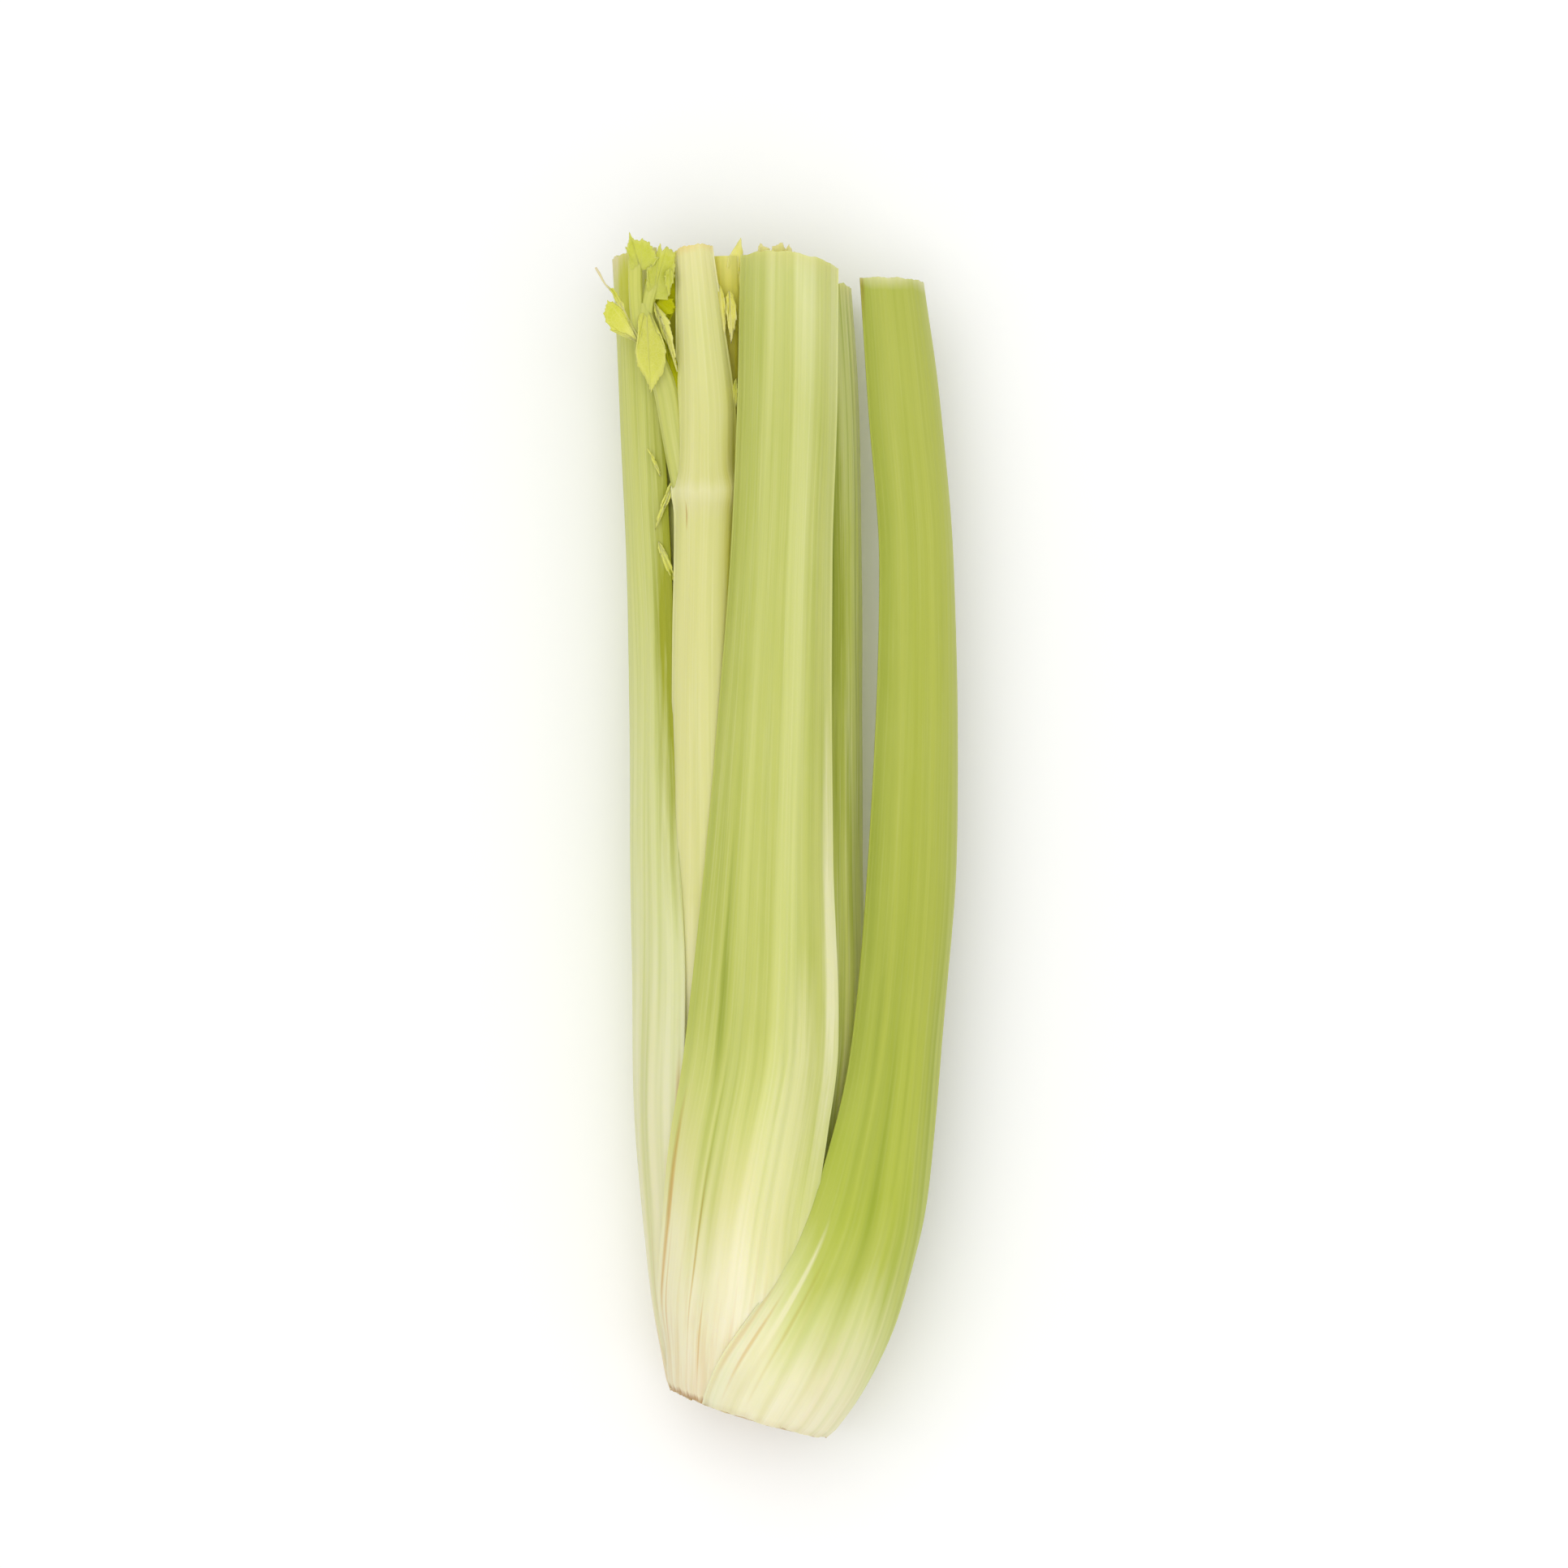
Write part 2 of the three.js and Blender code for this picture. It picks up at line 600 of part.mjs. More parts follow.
// A stalk with its side stems and blades fused on.
function dressedStalk(stalk, grow) {
  let solid = stalkSolid(stalk, grow);
  for (const stem of sideStems[stalk.name] || []) solid = solid.add(sideStemSolid(stem, grow));
  for (const blade of blades[stalk.name] || []) solid = solid.add(bladeSolid(blade, grow));
  return solid;
}

for (const stalk of stalks) {
  if (stalk.name === "stalk_inner_right") place("crown", crownSolid(0), crownSolid(clearance), "#ece4bf");
  place(stalk.name, dressedStalk(stalk, 0), dressedStalk(stalk, clearance), stalk.colour);
}

export default head;
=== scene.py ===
import math
from functools import partial

import bpy
import numpy as np
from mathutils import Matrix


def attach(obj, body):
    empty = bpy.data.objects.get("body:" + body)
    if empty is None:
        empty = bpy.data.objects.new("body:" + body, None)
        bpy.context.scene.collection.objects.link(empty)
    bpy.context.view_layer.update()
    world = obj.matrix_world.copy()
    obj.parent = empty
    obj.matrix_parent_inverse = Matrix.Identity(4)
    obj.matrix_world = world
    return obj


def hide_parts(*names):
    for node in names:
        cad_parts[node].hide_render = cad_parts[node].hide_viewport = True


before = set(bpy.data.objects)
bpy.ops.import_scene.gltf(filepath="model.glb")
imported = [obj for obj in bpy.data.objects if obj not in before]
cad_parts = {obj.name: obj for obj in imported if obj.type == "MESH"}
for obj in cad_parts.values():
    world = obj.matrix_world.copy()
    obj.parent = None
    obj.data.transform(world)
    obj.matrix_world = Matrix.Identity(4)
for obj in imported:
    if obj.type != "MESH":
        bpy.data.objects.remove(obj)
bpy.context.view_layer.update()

# A trimmed head of celery that lies on its back stalks. The shapes below are in millimetres and are
# put into the meshes in metres. +Y runs from the knife cut at the root to the trimmed top, +Z is up.
millimetre = 0.001  # in metres
sharpAbove = 60  # degrees between two faces from which the edge between them shows


def linearColour(hexColour):
    # sRGB hex to linear: c / 12.92 below 0.04045, and ((c + 0.055) / 1.055) ^ 2.4 above it
    channels = [int(hexColour[i : i + 2], 16) / 255 for i in (1, 3, 5)]
    return [c / 12.92 if c <= 0.04045 else ((c + 0.055) / 1.055) ** 2.4 for c in channels] + [1.0]


def smoothRise(at, low, high):
    # 0 below low, 1 above high, and 3t^2 - 2t^3 between them
    t = np.clip((at - low) / (high - low), 0, 1)
    return t * t * (3 - 2 * t)


def curveThrough(knots, values, at):
    # A cubic through the values at the knots, whose slopes are those of the chords between the neighbours
    knots, values = np.asarray(knots, float), np.asarray(values, float)
    count = len(knots)
    below, above = np.maximum(np.arange(count) - 1, 0), np.minimum(np.arange(count) + 1, count - 1)
    slopes = (values[above] - values[below]) / (knots[above] - knots[below])[:, None]
    i = np.clip(np.searchsorted(knots, at) - 1, 0, count - 2)
    span = (knots[i + 1] - knots[i])[:, None]
    t = (np.asarray(at, float) - knots[i])[:, None] / span
    rise = t * t * (3 - 2 * t)
    leave = span * slopes[i] * t * (1 - t) ** 2
    arrive = span * slopes[i + 1] * t * t * (t - 1)
    return values[i] + (values[i + 1] - values[i]) * rise + leave + arrive


def wander(a, b, seed, waves=5):
    # A smooth uneven height from about -1 to 1 over a and b: a sum of sines of seeded pitch and phase
    draw = np.random.default_rng(seed)
    total = np.zeros(np.broadcast(a, b).shape)
    for k in range(waves):
        pitchA, pitchB = draw.uniform(0.6, 1.6, 2) * 1.5**k
        side, phase = draw.choice((-1, 1)), draw.uniform(0, 6.28)
        total = total + np.sin(a * pitchA + b * pitchB * side + phase) / 1.4**k
    return total / 2.2


def gridFaces(rings, count, closed=True):
    # The quads between neighbouring rings of count points each, which go all the way round where closed
    k, l = np.meshgrid(np.arange(rings - 1), np.arange(count if closed else count - 1), indexing="ij")
    a, b = k * count + l, k * count + (l + 1) % count
    return np.stack([a, b, b + count, a + count], axis=2).reshape(-1, 4)


def tubeFaces(rings, around):
    # The wall of a tube and the face that closes each of its ends
    ring = np.arange(around)[None, :]
    return [gridFaces(rings, around), ring[:, ::-1], (rings - 1) * around + ring]


def meshPiece(name, points, faces, finishes, finishOf=None, layers=None):
    # points in mm as (n, 3), faces as a list of (m, corners) arrays, layers as named arrays on the points
    sixVolumes = sum(
        np.einsum("ij,ij->i", points[f[:, 0]], np.cross(points[f[:, k]], points[f[:, k + 1]])).sum()
        for f in faces
        for k in range(1, f.shape[1] - 1)
    )
    if finishOf is not None and sixVolumes < 0:  # a closed piece whose faces look inwards
        faces = [f[:, ::-1] for f in faces]
    mesh = bpy.data.meshes.new(name)
    mesh.vertices.add(len(points))
    mesh.vertices.foreach_set("co", (points * millimetre).ravel())
    corners = np.concatenate([f.ravel() for f in faces]).astype(np.int32)
    sizes = np.concatenate([np.full(len(f), f.shape[1]) for f in faces])
    mesh.loops.add(len(corners))
    mesh.loops.foreach_set("vertex_index", corners)
    mesh.polygons.add(len(sizes))
    mesh.polygons.foreach_set("loop_start", np.concatenate([[0], np.cumsum(sizes)[:-1]]).astype(np.int32))
    if finishOf is not None:
        mesh.polygons.foreach_set("material_index", finishOf.astype(np.int32))
    mesh.update(calc_edges=True)
    mesh.validate()
    for layer, values in (layers or {}).items():
        kind, key = ("FLOAT_VECTOR", "vector") if values.ndim == 2 else ("FLOAT", "value")
        made = mesh.attributes.new(layer, kind, "POINT")
        made.data.foreach_set(key, values.astype(np.float32).ravel())
    for finish in finishes:
        mesh.materials.append(finish)
    mesh.shade_smooth()
    mesh.set_sharp_from_angle(angle=math.radians(sharpAbove))
    piece = bpy.data.objects.new(name, mesh)
    bpy.context.scene.collection.objects.link(piece)
    return piece


def addNode(tree, kind, inputs=(), stops=(), out=0, **settings):
    # One shader node with its settings, its inputs' links or values, by name or in order, and a colour
    # ramp's stops. It gives the node's output out, or the node where that is None.
    made = tree.nodes.new("ShaderNode" + kind)
    for key, value in settings.items():
        setattr(made, key, value)
    for key, value in inputs.items() if isinstance(inputs, dict) else enumerate(inputs):
        if isinstance(value, bpy.types.NodeSocket):
            tree.links.new(value, made.inputs[key])
        else:
            made.inputs[key].default_value = value
    if stops:
        ramp = made.color_ramp.elements
        while len(ramp) < len(stops):
            ramp.new(1)
        for element, (place, shade) in zip(ramp, stops):
            element.position, element.color = place, linearColour(shade)
    return made if out is None else made.outputs[out]


def newFinish(name):
    # A material with an empty tree, and the function that adds nodes to it
    finish = bpy.data.materials.new(name)
    finish.use_nodes = True
    finish.node_tree.nodes.clear()
    return finish, partial(addNode, finish.node_tree)


def endFinish(add, surface):
    # The principled shader with the given values and links, and the output
    add("OutputMaterial", {"Surface": add("BsdfPrincipled", surface)}, out=None)


def layColours(add, colour, layers):
    # Colours laid over one another. A layer gives what drives it, where it starts and is full, how strong
    # it is, its colour, and how it mixes where it doesn't just cover.
    for driver, starts, full, most, shade, *how in layers:
        share = add("MapRange", [driver, starts, full, 0.0, most])
        mixed = {0: share, 6: colour, 7: linearColour(shade)}
        colour = add("Mix", mixed, out=2, data_type="RGBA", blend_type=how[0] if how else "MIX")
    return colour


# Fresh celery rind: a waxy skin over long strings. It gives the eye soft satin light along the ribs, fine
# light and dark lines that run the whole length, and a fade from green to cream where the soil shaded it.
rindGrains = {  # mm across and mm along of one wave, and detail
    "broad": (7.0, 260, 1.0),
    "bands": (2.6, 140, 2.0),
    "strings": (0.75, 70, 3.0),
    "streaks": (3.6, 170, 1.0),
    "patches": (13.0, 34, 3.0),
    "stains": (1.6, 30, 4.0),
}
rindSkin = {  # wax over soft wet tissue
    "IOR": 1.4,
    "Specular IOR Level": 0.35,
    "Subsurface Weight": 0.3,
    "Subsurface Radius": (1.0, 0.9, 0.3),
    "Subsurface Scale": 0.0035,
}
plainLook = {  # what the rinds share, where a stalk gives no other value
    "paleLean": 0.0,  # mm of height lost for each mm across
    "uneven": 60,  # mm by which the fade differs from band to band
    "zones": [(0.0, "#ffffff"), (0.3, "#f4f5e2"), (0.45, "#fdfdf6"), (0.7, "#f2f4dc"), (1.0, "#fafaee")],
    "tintsFrom": 110,  # mm above the cut where zones and bands have their full colour
    "band": "#e4eac2",
    "bandShare": 0.55,
    "string": "#e9e7b8",
    "stringShare": 0.3,
    "furrow": "#dce4b0",
    "furrowShare": 0.45,
    "patch": "#d6d68c",
    "patchShare": 0.15,
    "inner": "#d3d472",
    "innerShare": 0.75,
    "innerFrom": 40,  # mm above the cut where the inner side starts to turn to the inner colour, a painted tint of its shade
    "stain": "#ecd2a4",
    "stainReach": 60,
    "stainShare": 0.6,
    "streak": "#d3dd9a",
    "streakShare": 0.3,
    "lines": (),  # place between the margins, half width, mm up from and to, strength, colour, how it mixes
    "rim": "#a97b45",
    "rimShare": 0.75,
    "end": "#d8cf86",
    "endReach": 9,
    "endShare": 0.35,
}


def celeryRind(name, look, length, arcMm):
    # The layer "lay" holds mm across the back, mm deep from it, and mm up from the knife cut
    look = dict(plainLook, **look)
    finish, add = newFinish(name)
    lay = add("Attribute", out="Vector", attribute_name="lay")
    rib = add("Attribute", out="Fac", attribute_name="rib")
    across, deep, up = add("SeparateXYZ", [lay], out=None).outputs
    grain = {}
    for key, (wide, long, detail) in rindGrains.items():
        place = add("Mapping", {"Vector": lay, "Scale": (1 / wide, 1 / wide, 1 / long)})
        grain[key] = add("TexNoise", {"Vector": place, "Scale": 1.0, "Detail": detail, "Roughness": 0.55})
    # how green it is: by the height above the cut, less towards one margin, and uneven from band to band
    fade = add("Math", [across, -look["paleLean"], up], operation="MULTIPLY_ADD")
    for key, share in (("broad", 1.0), ("bands", 0.5)):
        fade = add("Math", [grain[key], look["uneven"] * share, fade], operation="MULTIPLY_ADD")
    middle = look["uneven"] * 0.75  # what the two grains add on average
    fade = add("MapRange", [fade, middle, middle + length])
    colour = add("ValToRGB", [fade], stops=[(min(1, mm / length), shade) for mm, shade in look["upwards"]])
    # broad zones that run side by side up the back, from the right margin to the left; they, like the bands
    # and furrows, are faint where the stalk is blanched
    tinted = add("MapRange", [up, 5.0, look["tintsFrom"], 0.15])
    place = add("MapRange", [across, -arcMm, arcMm, -0.04, 0.96])
    place = add("Math", [grain["broad"], 0.08, place], operation="MULTIPLY_ADD")
    zone = add("ValToRGB", [place], stops=look["zones"])
    colour = add("Mix", {0: tinted, 6: colour, 7: zone}, out=2, data_type="RGBA", blend_type="MULTIPLY")
    # rust that creeps up the strings from the cut
    nearCut = add("MapRange", [up, 0.0, look["stainReach"], 0.3, -0.05])
    stained = add("Math", [grain["stains"], nearCut], operation="ADD")
    # deep green streaks low on the back, where the soil lay against it
    low = add("MapRange", [up, 15.0, 60.0])
    high = add("MapRange", [up, 110.0, 190.0, 1.0, 0.25])
    streaked = add("MapRange", [grain["streaks"], 0.5, 0.75])
    for window in (low, high):
        streaked = add("Math", [streaked, window], operation="MULTIPLY")
    # the dried rim wanders between 0 and 2 mm above the knife cut, and the trimmed end has dried a little
    ragged = add("Math", [grain["stains"], -3.5, up], operation="MULTIPLY_ADD")
    drying = add("MapRange", [up, length - look["endReach"], length])
    dried = add("Math", [drying, grain["patches"]], operation="MULTIPLY")
    banded = add("MapRange", [grain["bands"], 0.44, 0.66])
    banded = add("Math", [banded, tinted], operation="MULTIPLY")
    # painted shade: deeper than 1 mm, on the inner side and side walls, the colour turns to the inner
    # colour, which tints the shade in the gaps between the stalks
    inner = add("MapRange", [deep, 1.0, 4.0])
    shown = add("MapRange", [up, look["innerFrom"], look["innerFrom"] + 60])
    inner = add("Math", [inner, shown], operation="MULTIPLY")
    layers = [
        (banded, 0.0, 1.0, look["bandShare"], look["band"], "MULTIPLY"),
        (grain["strings"], 0.5, 0.74, look["stringShare"], look["string"]),
        (rib, 0.5, 0.0, look["furrowShare"], look["furrow"], "MULTIPLY"),
        (grain["patches"], 0.42, 0.7, look["patchShare"], look["patch"]),
        (inner, 0.0, 1.0, look["innerShare"], look["inner"]),
        (stained, 0.62, 0.86, look["stainShare"], look["stain"], "MULTIPLY"),
        (streaked, 0.0, 1.0, look["streakShare"], look["streak"], "MULTIPLY"),
        (dried, 0.15, 0.6, look["endShare"], look["end"]),
    ]
    # single lines along the back, each at its place between the margins and between two heights
    for middle, halfWidth, foot, top, most, shade, how in look["lines"]:
        inside = grain["stains"]
        spans = ((place, middle, halfWidth, 1.0), (up, (foot + top) / 2, (top - foot) / 2, 2.0))
        for driver, centre, reach, full in spans:
            off = add("Math", [driver, centre], operation="SUBTRACT")
            off = add("Math", [off], operation="ABSOLUTE")
            near = add("MapRange", [off, reach, 0.0, 0.0, full])
            inside = add("Math", [inside, near], operation="MULTIPLY")
        layers.append((inside, 0.1, 0.6, most, shade, how))
    layers.append((ragged, 0.0, -1.4, look["rimShare"], look["rim"]))
    colour = layColours(add, colour, layers)
    # satin wax: rougher on the strings, smoother between them
    waxy = add("MapRange", [grain["strings"], 0.3, 0.7, 0.42, 0.56])
    # strings stand about 0.05 mm proud, and the skin's cells give a fine grain
    cells = add("TexNoise", {"Vector": lay, "Scale": 2.2, "Detail": 2.0, "Roughness": 0.6})
    relief = add("Math", [cells, 0.25, grain["strings"]], operation="MULTIPLY_ADD")
    bump = add("Bump", {"Height": relief, "Strength": 0.5, "Distance": 0.0001})
    endFinish(add, {"Base Color": colour, "Roughness": waxy, "Normal": bump, **rindSkin})
    return finish


# Celery cut across: wet pale flesh with a ring of string ends just under the skin. It gives the eye a
# light, slightly glassy face with small darker dots and a green line round it.
cutBody = {
    "IOR": 1.37,
    "Subsurface Weight": 0.3,
    "Subsurface Radius": (1.0, 0.9, 0.4),
    "Subsurface Scale": 0.002,
}
topCut = {  # knife trimmed, still fresh
    "flesh": "#e6e3ab",
    "deep": "#d8d88e",
    "skin": "#b9bf5a",
    "skinShare": 0.8,
    "dot": "#b3b864",
    "dotShare": 0.7,
    "dry": "#c9a765",
    "dryFrom": 0.6,
    "rough": 0.42,
}
rootCut = {  # older cut across the root, dried to a tan with a rusty line round it
    "flesh": "#e6d8ae",
    "deep": "#d2b882",
    "skin": "#a0733f",
    "skinShare": 0.85,
    "dot": "#a88452",
    "dotShare": 0.6,
    "dry": "#b28450",
    "dryFrom": 0.55,
    "rough": 0.62,
}


def cutFlesh(name, look):
    finish, add = newFinish(name)
    lay = add("Attribute", out="Vector", attribute_name="lay")
    rib = add("Attribute", out="Fac", attribute_name="rib")
    deep = add("SeparateXYZ", [lay], out="Y")
    flat = add("Mapping", {"Vector": lay, "Scale": (1.0, 1.0, 0.0)})
    pith = add("TexNoise", {"Vector": flat, "Scale": 1.1, "Detail": 4.0, "Roughness": 0.65})
    flesh = add("ValToRGB", [pith], stops=[(0.3, look["deep"]), (0.65, look["flesh"])])
    # string ends: where a rib stands, 1.6 mm under the skin
    below = add("Math", [deep, 1.6], operation="SUBTRACT")
    near = add("Math", [below], operation="ABSOLUTE")
    ring = add("MapRange", [near, 0.75, 0.2])
    crest = add("MapRange", [rib, 0.75, 0.97])
    dots = add("Math", [ring, crest], operation="MULTIPLY")
    layers = (
        (deep, 0.7, 0.1, look["skinShare"], look["skin"]),  # a line about 0.6 mm wide
        (dots, 0.0, 1.0, look["dotShare"], look["dot"]),
        (pith, look["dryFrom"], look["dryFrom"] + 0.25, 0.85, look["dry"]),  # rusty where the air got at it
    )
    colour = layColours(add, flesh, layers)
    bump = add("Bump", {"Height": pith, "Strength": 0.7, "Distance": 0.0004})
    endFinish(add, {"Base Color": colour, "Roughness": look["rough"], "Normal": bump, **cutBody})
    return finish


freshCutFlesh = cutFlesh("freshCutCeleryFlesh", topCut)
driedCutFlesh = cutFlesh("driedCutCeleryRoot", rootCut)

# Each stalk is one leaf stem, a ribbed band bent into a gutter. The measures are those of its solid:
# root: height above the cut, arc radius, half angle, facing, thickness, with the arc round the root axis
# run: y, arc centre x, arc centre z, arc radius, half angle, facing, thickness, further and further up
# slant: mm of y for each mm of z, and for each mm of x, by which the trimmed end leans
head = {
    "rootCentre": (-16.1, -147.4, 29.0),
    "rootLean": 17,  # degrees from +Y towards +X
    "leanFades": 45,  # mm above the cut over which the sections turn square to +Y
    "ribsGrowOver": 30,
    "wornEdge": 0.9,
    "swell": 0.25,  # slow unevenness of the whole back
    "nick": 0.35,  # unevenness of the cut at the root
    "ridgesFrom": 24,  # mm above the cut where the broad ridges of the root end are full
    "ridgesTo": 150,  # and where they are gone
    "tuckedTo": 45,  # mm above the cut up to which margins slip under their neighbours
    "tuckedUntil": 95,  # and where they are clear of them
    "slantOver": 25,
    "marginShare": 0.22,  # thickness of a margin, as a share of the middle's
    "thinnestMargin": 1.4,
    "marginBulge": 0.62,  # how far a margin is rounded outwards, as a share of its thickness
}
rootAxis = np.array([math.sin(math.radians(head["rootLean"])), math.cos(math.radians(head["rootLean"])), 0])
plainStalk = {  # what the stalks share, where one gives no other value
    "ribShare": 0.55,  # the real ribs are softer than those of the solids, which are cut for a coarse mesh
    "ridges": 0.4,  # height of the broad ridges of the root end
    "tucked": (0, 0),  # how far each margin slips under its neighbour's near the root
    "ragged": 0.5,  # unevenness of the trimmed end
    "rootStep": 0,  # how far the root end stands out below the cut
}


def ribHeightAt(stalk, share, y):
    # Rounded ribs, |cos(pi ribs share / 2)| ^ 1.6, whose places wander and whose heights run from a tenth
    # to all, with fine strings on them; from 0 in a furrow to about 1 on a crest
    ribs, seed = stalk["ribs"], stalk["seed"]
    moved = share + 0.7 / ribs * wander(share * 4, y / 230, seed)
    crest = np.abs(np.cos(math.pi * ribs * moved / 2)) ** 1.6
    height = np.clip(0.42 + 0.6 * wander(share * 4.3, y / 240, seed + 1), 0.05, 1)
    strings = 0.06 * np.cos(math.pi * ribs * moved * 2.5 + wander(share * 3, y / 90, seed + 2))
    return np.clip(0.5 + (crest - 0.5) * height + strings, 0, 1)


def ridgeAt(stalk, share, y, start):
    # Broad ridges near the root end, where the stalk is flattened out: an uneven height from -1 to 1 over
    # share, which comes over the first mm above the cut and is gone higher up
    above = smoothRise(y, start, start + head["ridgesFrom"])
    above = above * (1 - smoothRise(y, start + 60, start + head["ridgesTo"]))
    return stalk["ridges"] * above * wander(share * 5.2, y / 330, stalk["seed"] + 6)


def stalkPoints(stalk, rows, share, depth, y):
    # share runs from -1 to 1 across the back, depth from 0 at the back to 1 at the inner side, y along the
    # head. The back is an arc of radius + rib, the inner side a flatter arc, and the margins are rounded.
    start, end, seed = rows[0, 0], rows[-1, 0], stalk["seed"]
    x, z, radius, half, facing, thickness = curveThrough(rows[:, 0], rows[:, 1:], y).T
    phi, turn = np.radians(half), np.radians(facing)
    margin = np.maximum(head["thinnestMargin"], thickness * head["marginShare"])
    sag, halfWidth = radius * (1 - np.cos(phi)), radius * np.sin(phi)
    relief = stalk["ribShare"] * stalk["ribHeight"] * smoothRise(y, start, start + head["ribsGrowOver"])
    rib, ridge = ribHeightAt(stalk, share, y), ridgeAt(stalk, share, y, start)
    swell = head["swell"] * wander(share * 1.6, y / 45, seed + 3)
    r = radius + (relief * (rib - 0.5) + 0.6 * ridge) * (1 - share**8)
    r = r + swell * smoothRise(y, start, start + 40)
    # near the root the margins slip under the neighbours' that lie over them, and the cut edge is worn
    near = 1 - smoothRise(y, start + head["tuckedTo"], start + head["tuckedUntil"])
    for side, under in zip((-1, 1), stalk["tucked"]):
        r = r - under * near * smoothRise(side * share, 0.05, 0.6)
    r = r - head["wornEdge"] * (1 - smoothRise(y, start, start + 4)) ** 2
    backU, backV = r * np.sin(share * phi), r * np.cos(share * phi) - radius
    down = (1 - np.cos(share * phi)) / (1 - np.cos(phi))
    innerU = (halfWidth - 0.8 * margin) * np.sin(share * phi) / np.sin(phi)
    innerV = -(thickness + (sag + 0.8 * margin - thickness) * down)
    bulge = head["marginBulge"] * margin * 4 * depth * (1 - depth) * share**15
    u, v = backU + (innerU - backU) * depth + bulge, backV + (innerV - backV) * depth
    e = (radius + v) * np.cos(turn) - u * np.sin(turn)
    f = (radius + v) * np.sin(turn) + u * np.cos(turn)
    square = smoothRise(y, start, start + head["leanFades"])[:, None]
    along = rootAxis * (1 - square) + np.array([0, 1, 0]) * square
    along /= np.linalg.norm(along, axis=1)[:, None]
    points = np.stack([x + along[:, 1] * e, y - along[:, 0] * e, z + f], axis=1)
    atCut = smoothRise(y, end - head["slantOver"], end)
    points[:, 1] += atCut * stalk["slant"][0] * (f - radius * np.sin(turn))
    points[:, 1] += atCut * stalk["slant"][1] * (e - radius * np.cos(turn))
    # a knife never leaves a straight edge: the last few mm are uneven from rib to rib
    ragged = stalk["ragged"] * wander(share * 9, depth * 2.5, seed + 4)
    points[:, 1] += ragged * smoothRise(y, end - 4, end)
    nick = head["nick"] * wander(share * 11, depth * 5, seed + 5) * (1 - smoothRise(y, start, start + 3))
    points -= rootAxis * ((nick + stalk["rootStep"]) * (1 - 0.8 * depth))[:, None]
    points[:, 2] = np.maximum(0, points[:, 2])
    shade = 1 - (1 - rib) * (1 - 0.7 * smoothRise(y, start + 70, start + head["ridgesTo"]))
    return points, np.clip(shade + 0.6 * np.minimum(0, ridge), 0, 1)


def stalkShell(start, end, across, deep, rowsPer):
    # The skin of a block in share, depth and y: rings that go once round it, and a grid at each end
    ys = start + (end - start) * np.linspace(0, 1, int((end - start) / rowsPer))
    ys = np.unique(np.concatenate([ys, start + np.array([0.3, 0.8, 1.5]), end - np.array([0.25, 0.7])]))
    shareAt = np.sin(np.linspace(-1, 1, across) * 1.35) / math.sin(1.35)  # closer towards the margins
    depthAt = (1 - np.cos(np.linspace(0, math.pi, deep))) / 2
    a, d = np.arange(across), np.arange(deep)
    ringI = np.concatenate([a, np.full(deep - 2, across - 1), a[::-1], np.zeros(deep - 2, int)])
    ringJ = np.concatenate([np.zeros(across, int), d[1:-1], np.full(across, deep - 1), d[-2:0:-1]])
    size, levels = len(ringI), len(ys)
    wall = gridFaces(levels, size)
    inI, inJ = [g.ravel() for g in np.meshgrid(a[1:-1], d[1:-1], indexing="ij")]
    caps = []
    for first, base in ((0, 0), (len(inI), (levels - 1) * size)):
        ids = np.empty((across, deep), int)
        ids[ringI, ringJ] = base + np.arange(size)
        ids[inI, inJ] = levels * size + first + np.arange(len(inI))
        quads = np.stack([ids[:-1, :-1], ids[1:, :-1], ids[1:, 1:], ids[:-1, 1:]], axis=2).reshape(-1, 4)
        caps.append(quads if base else quads[:, ::-1])
    share = np.concatenate([np.tile(shareAt[ringI], levels), shareAt[inI], shareAt[inI]])
    depth = np.concatenate([np.tile(depthAt[ringJ], levels), depthAt[inJ], depthAt[inJ]])
    y = np.concatenate([np.repeat(ys, size), np.full(len(inI), start), np.full(len(inI), end)])
    finishOf = np.concatenate([np.zeros(len(wall)), np.full(len(caps[0]), 2), np.full(len(caps[1]), 1)])
    return share, depth, y, [wall, *caps], finishOf


def makeStalk(stalk, across=130, deep=7, rowsPer=2.4):
    stalk = dict(plainStalk, **stalk)
    height, *arc = stalk["root"]
    foot = np.array(head["rootCentre"]) + rootAxis * height
    rows = np.array([[foot[1], foot[0], foot[2], *arc], *stalk["run"]], float)
    start, end = rows[0, 0], rows[-1, 0]
    share, depth, y, faces, finishOf = stalkShell(start, end, across, deep, rowsPer)
    points, rib = stalkPoints(stalk, rows, share, depth, y)
    midway = rows[len(rows) // 2]
    arcMm = midway[3] * math.radians(midway[4])
    layers = {"lay": np.stack([share * arcMm, depth * rows[:, 6].mean(), y - start], axis=1), "rib": rib}
    finishes = [celeryRind(stalk["rind"], stalk["look"], end - start, arcMm), freshCutFlesh, driedCutFlesh]
    name = stalk["node"] + "_rind"
    piece = meshPiece(name, points, faces, finishes, finishOf, layers)
    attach(piece, "root")
    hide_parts(stalk["node"])
    print("made", name, len(points), "points")


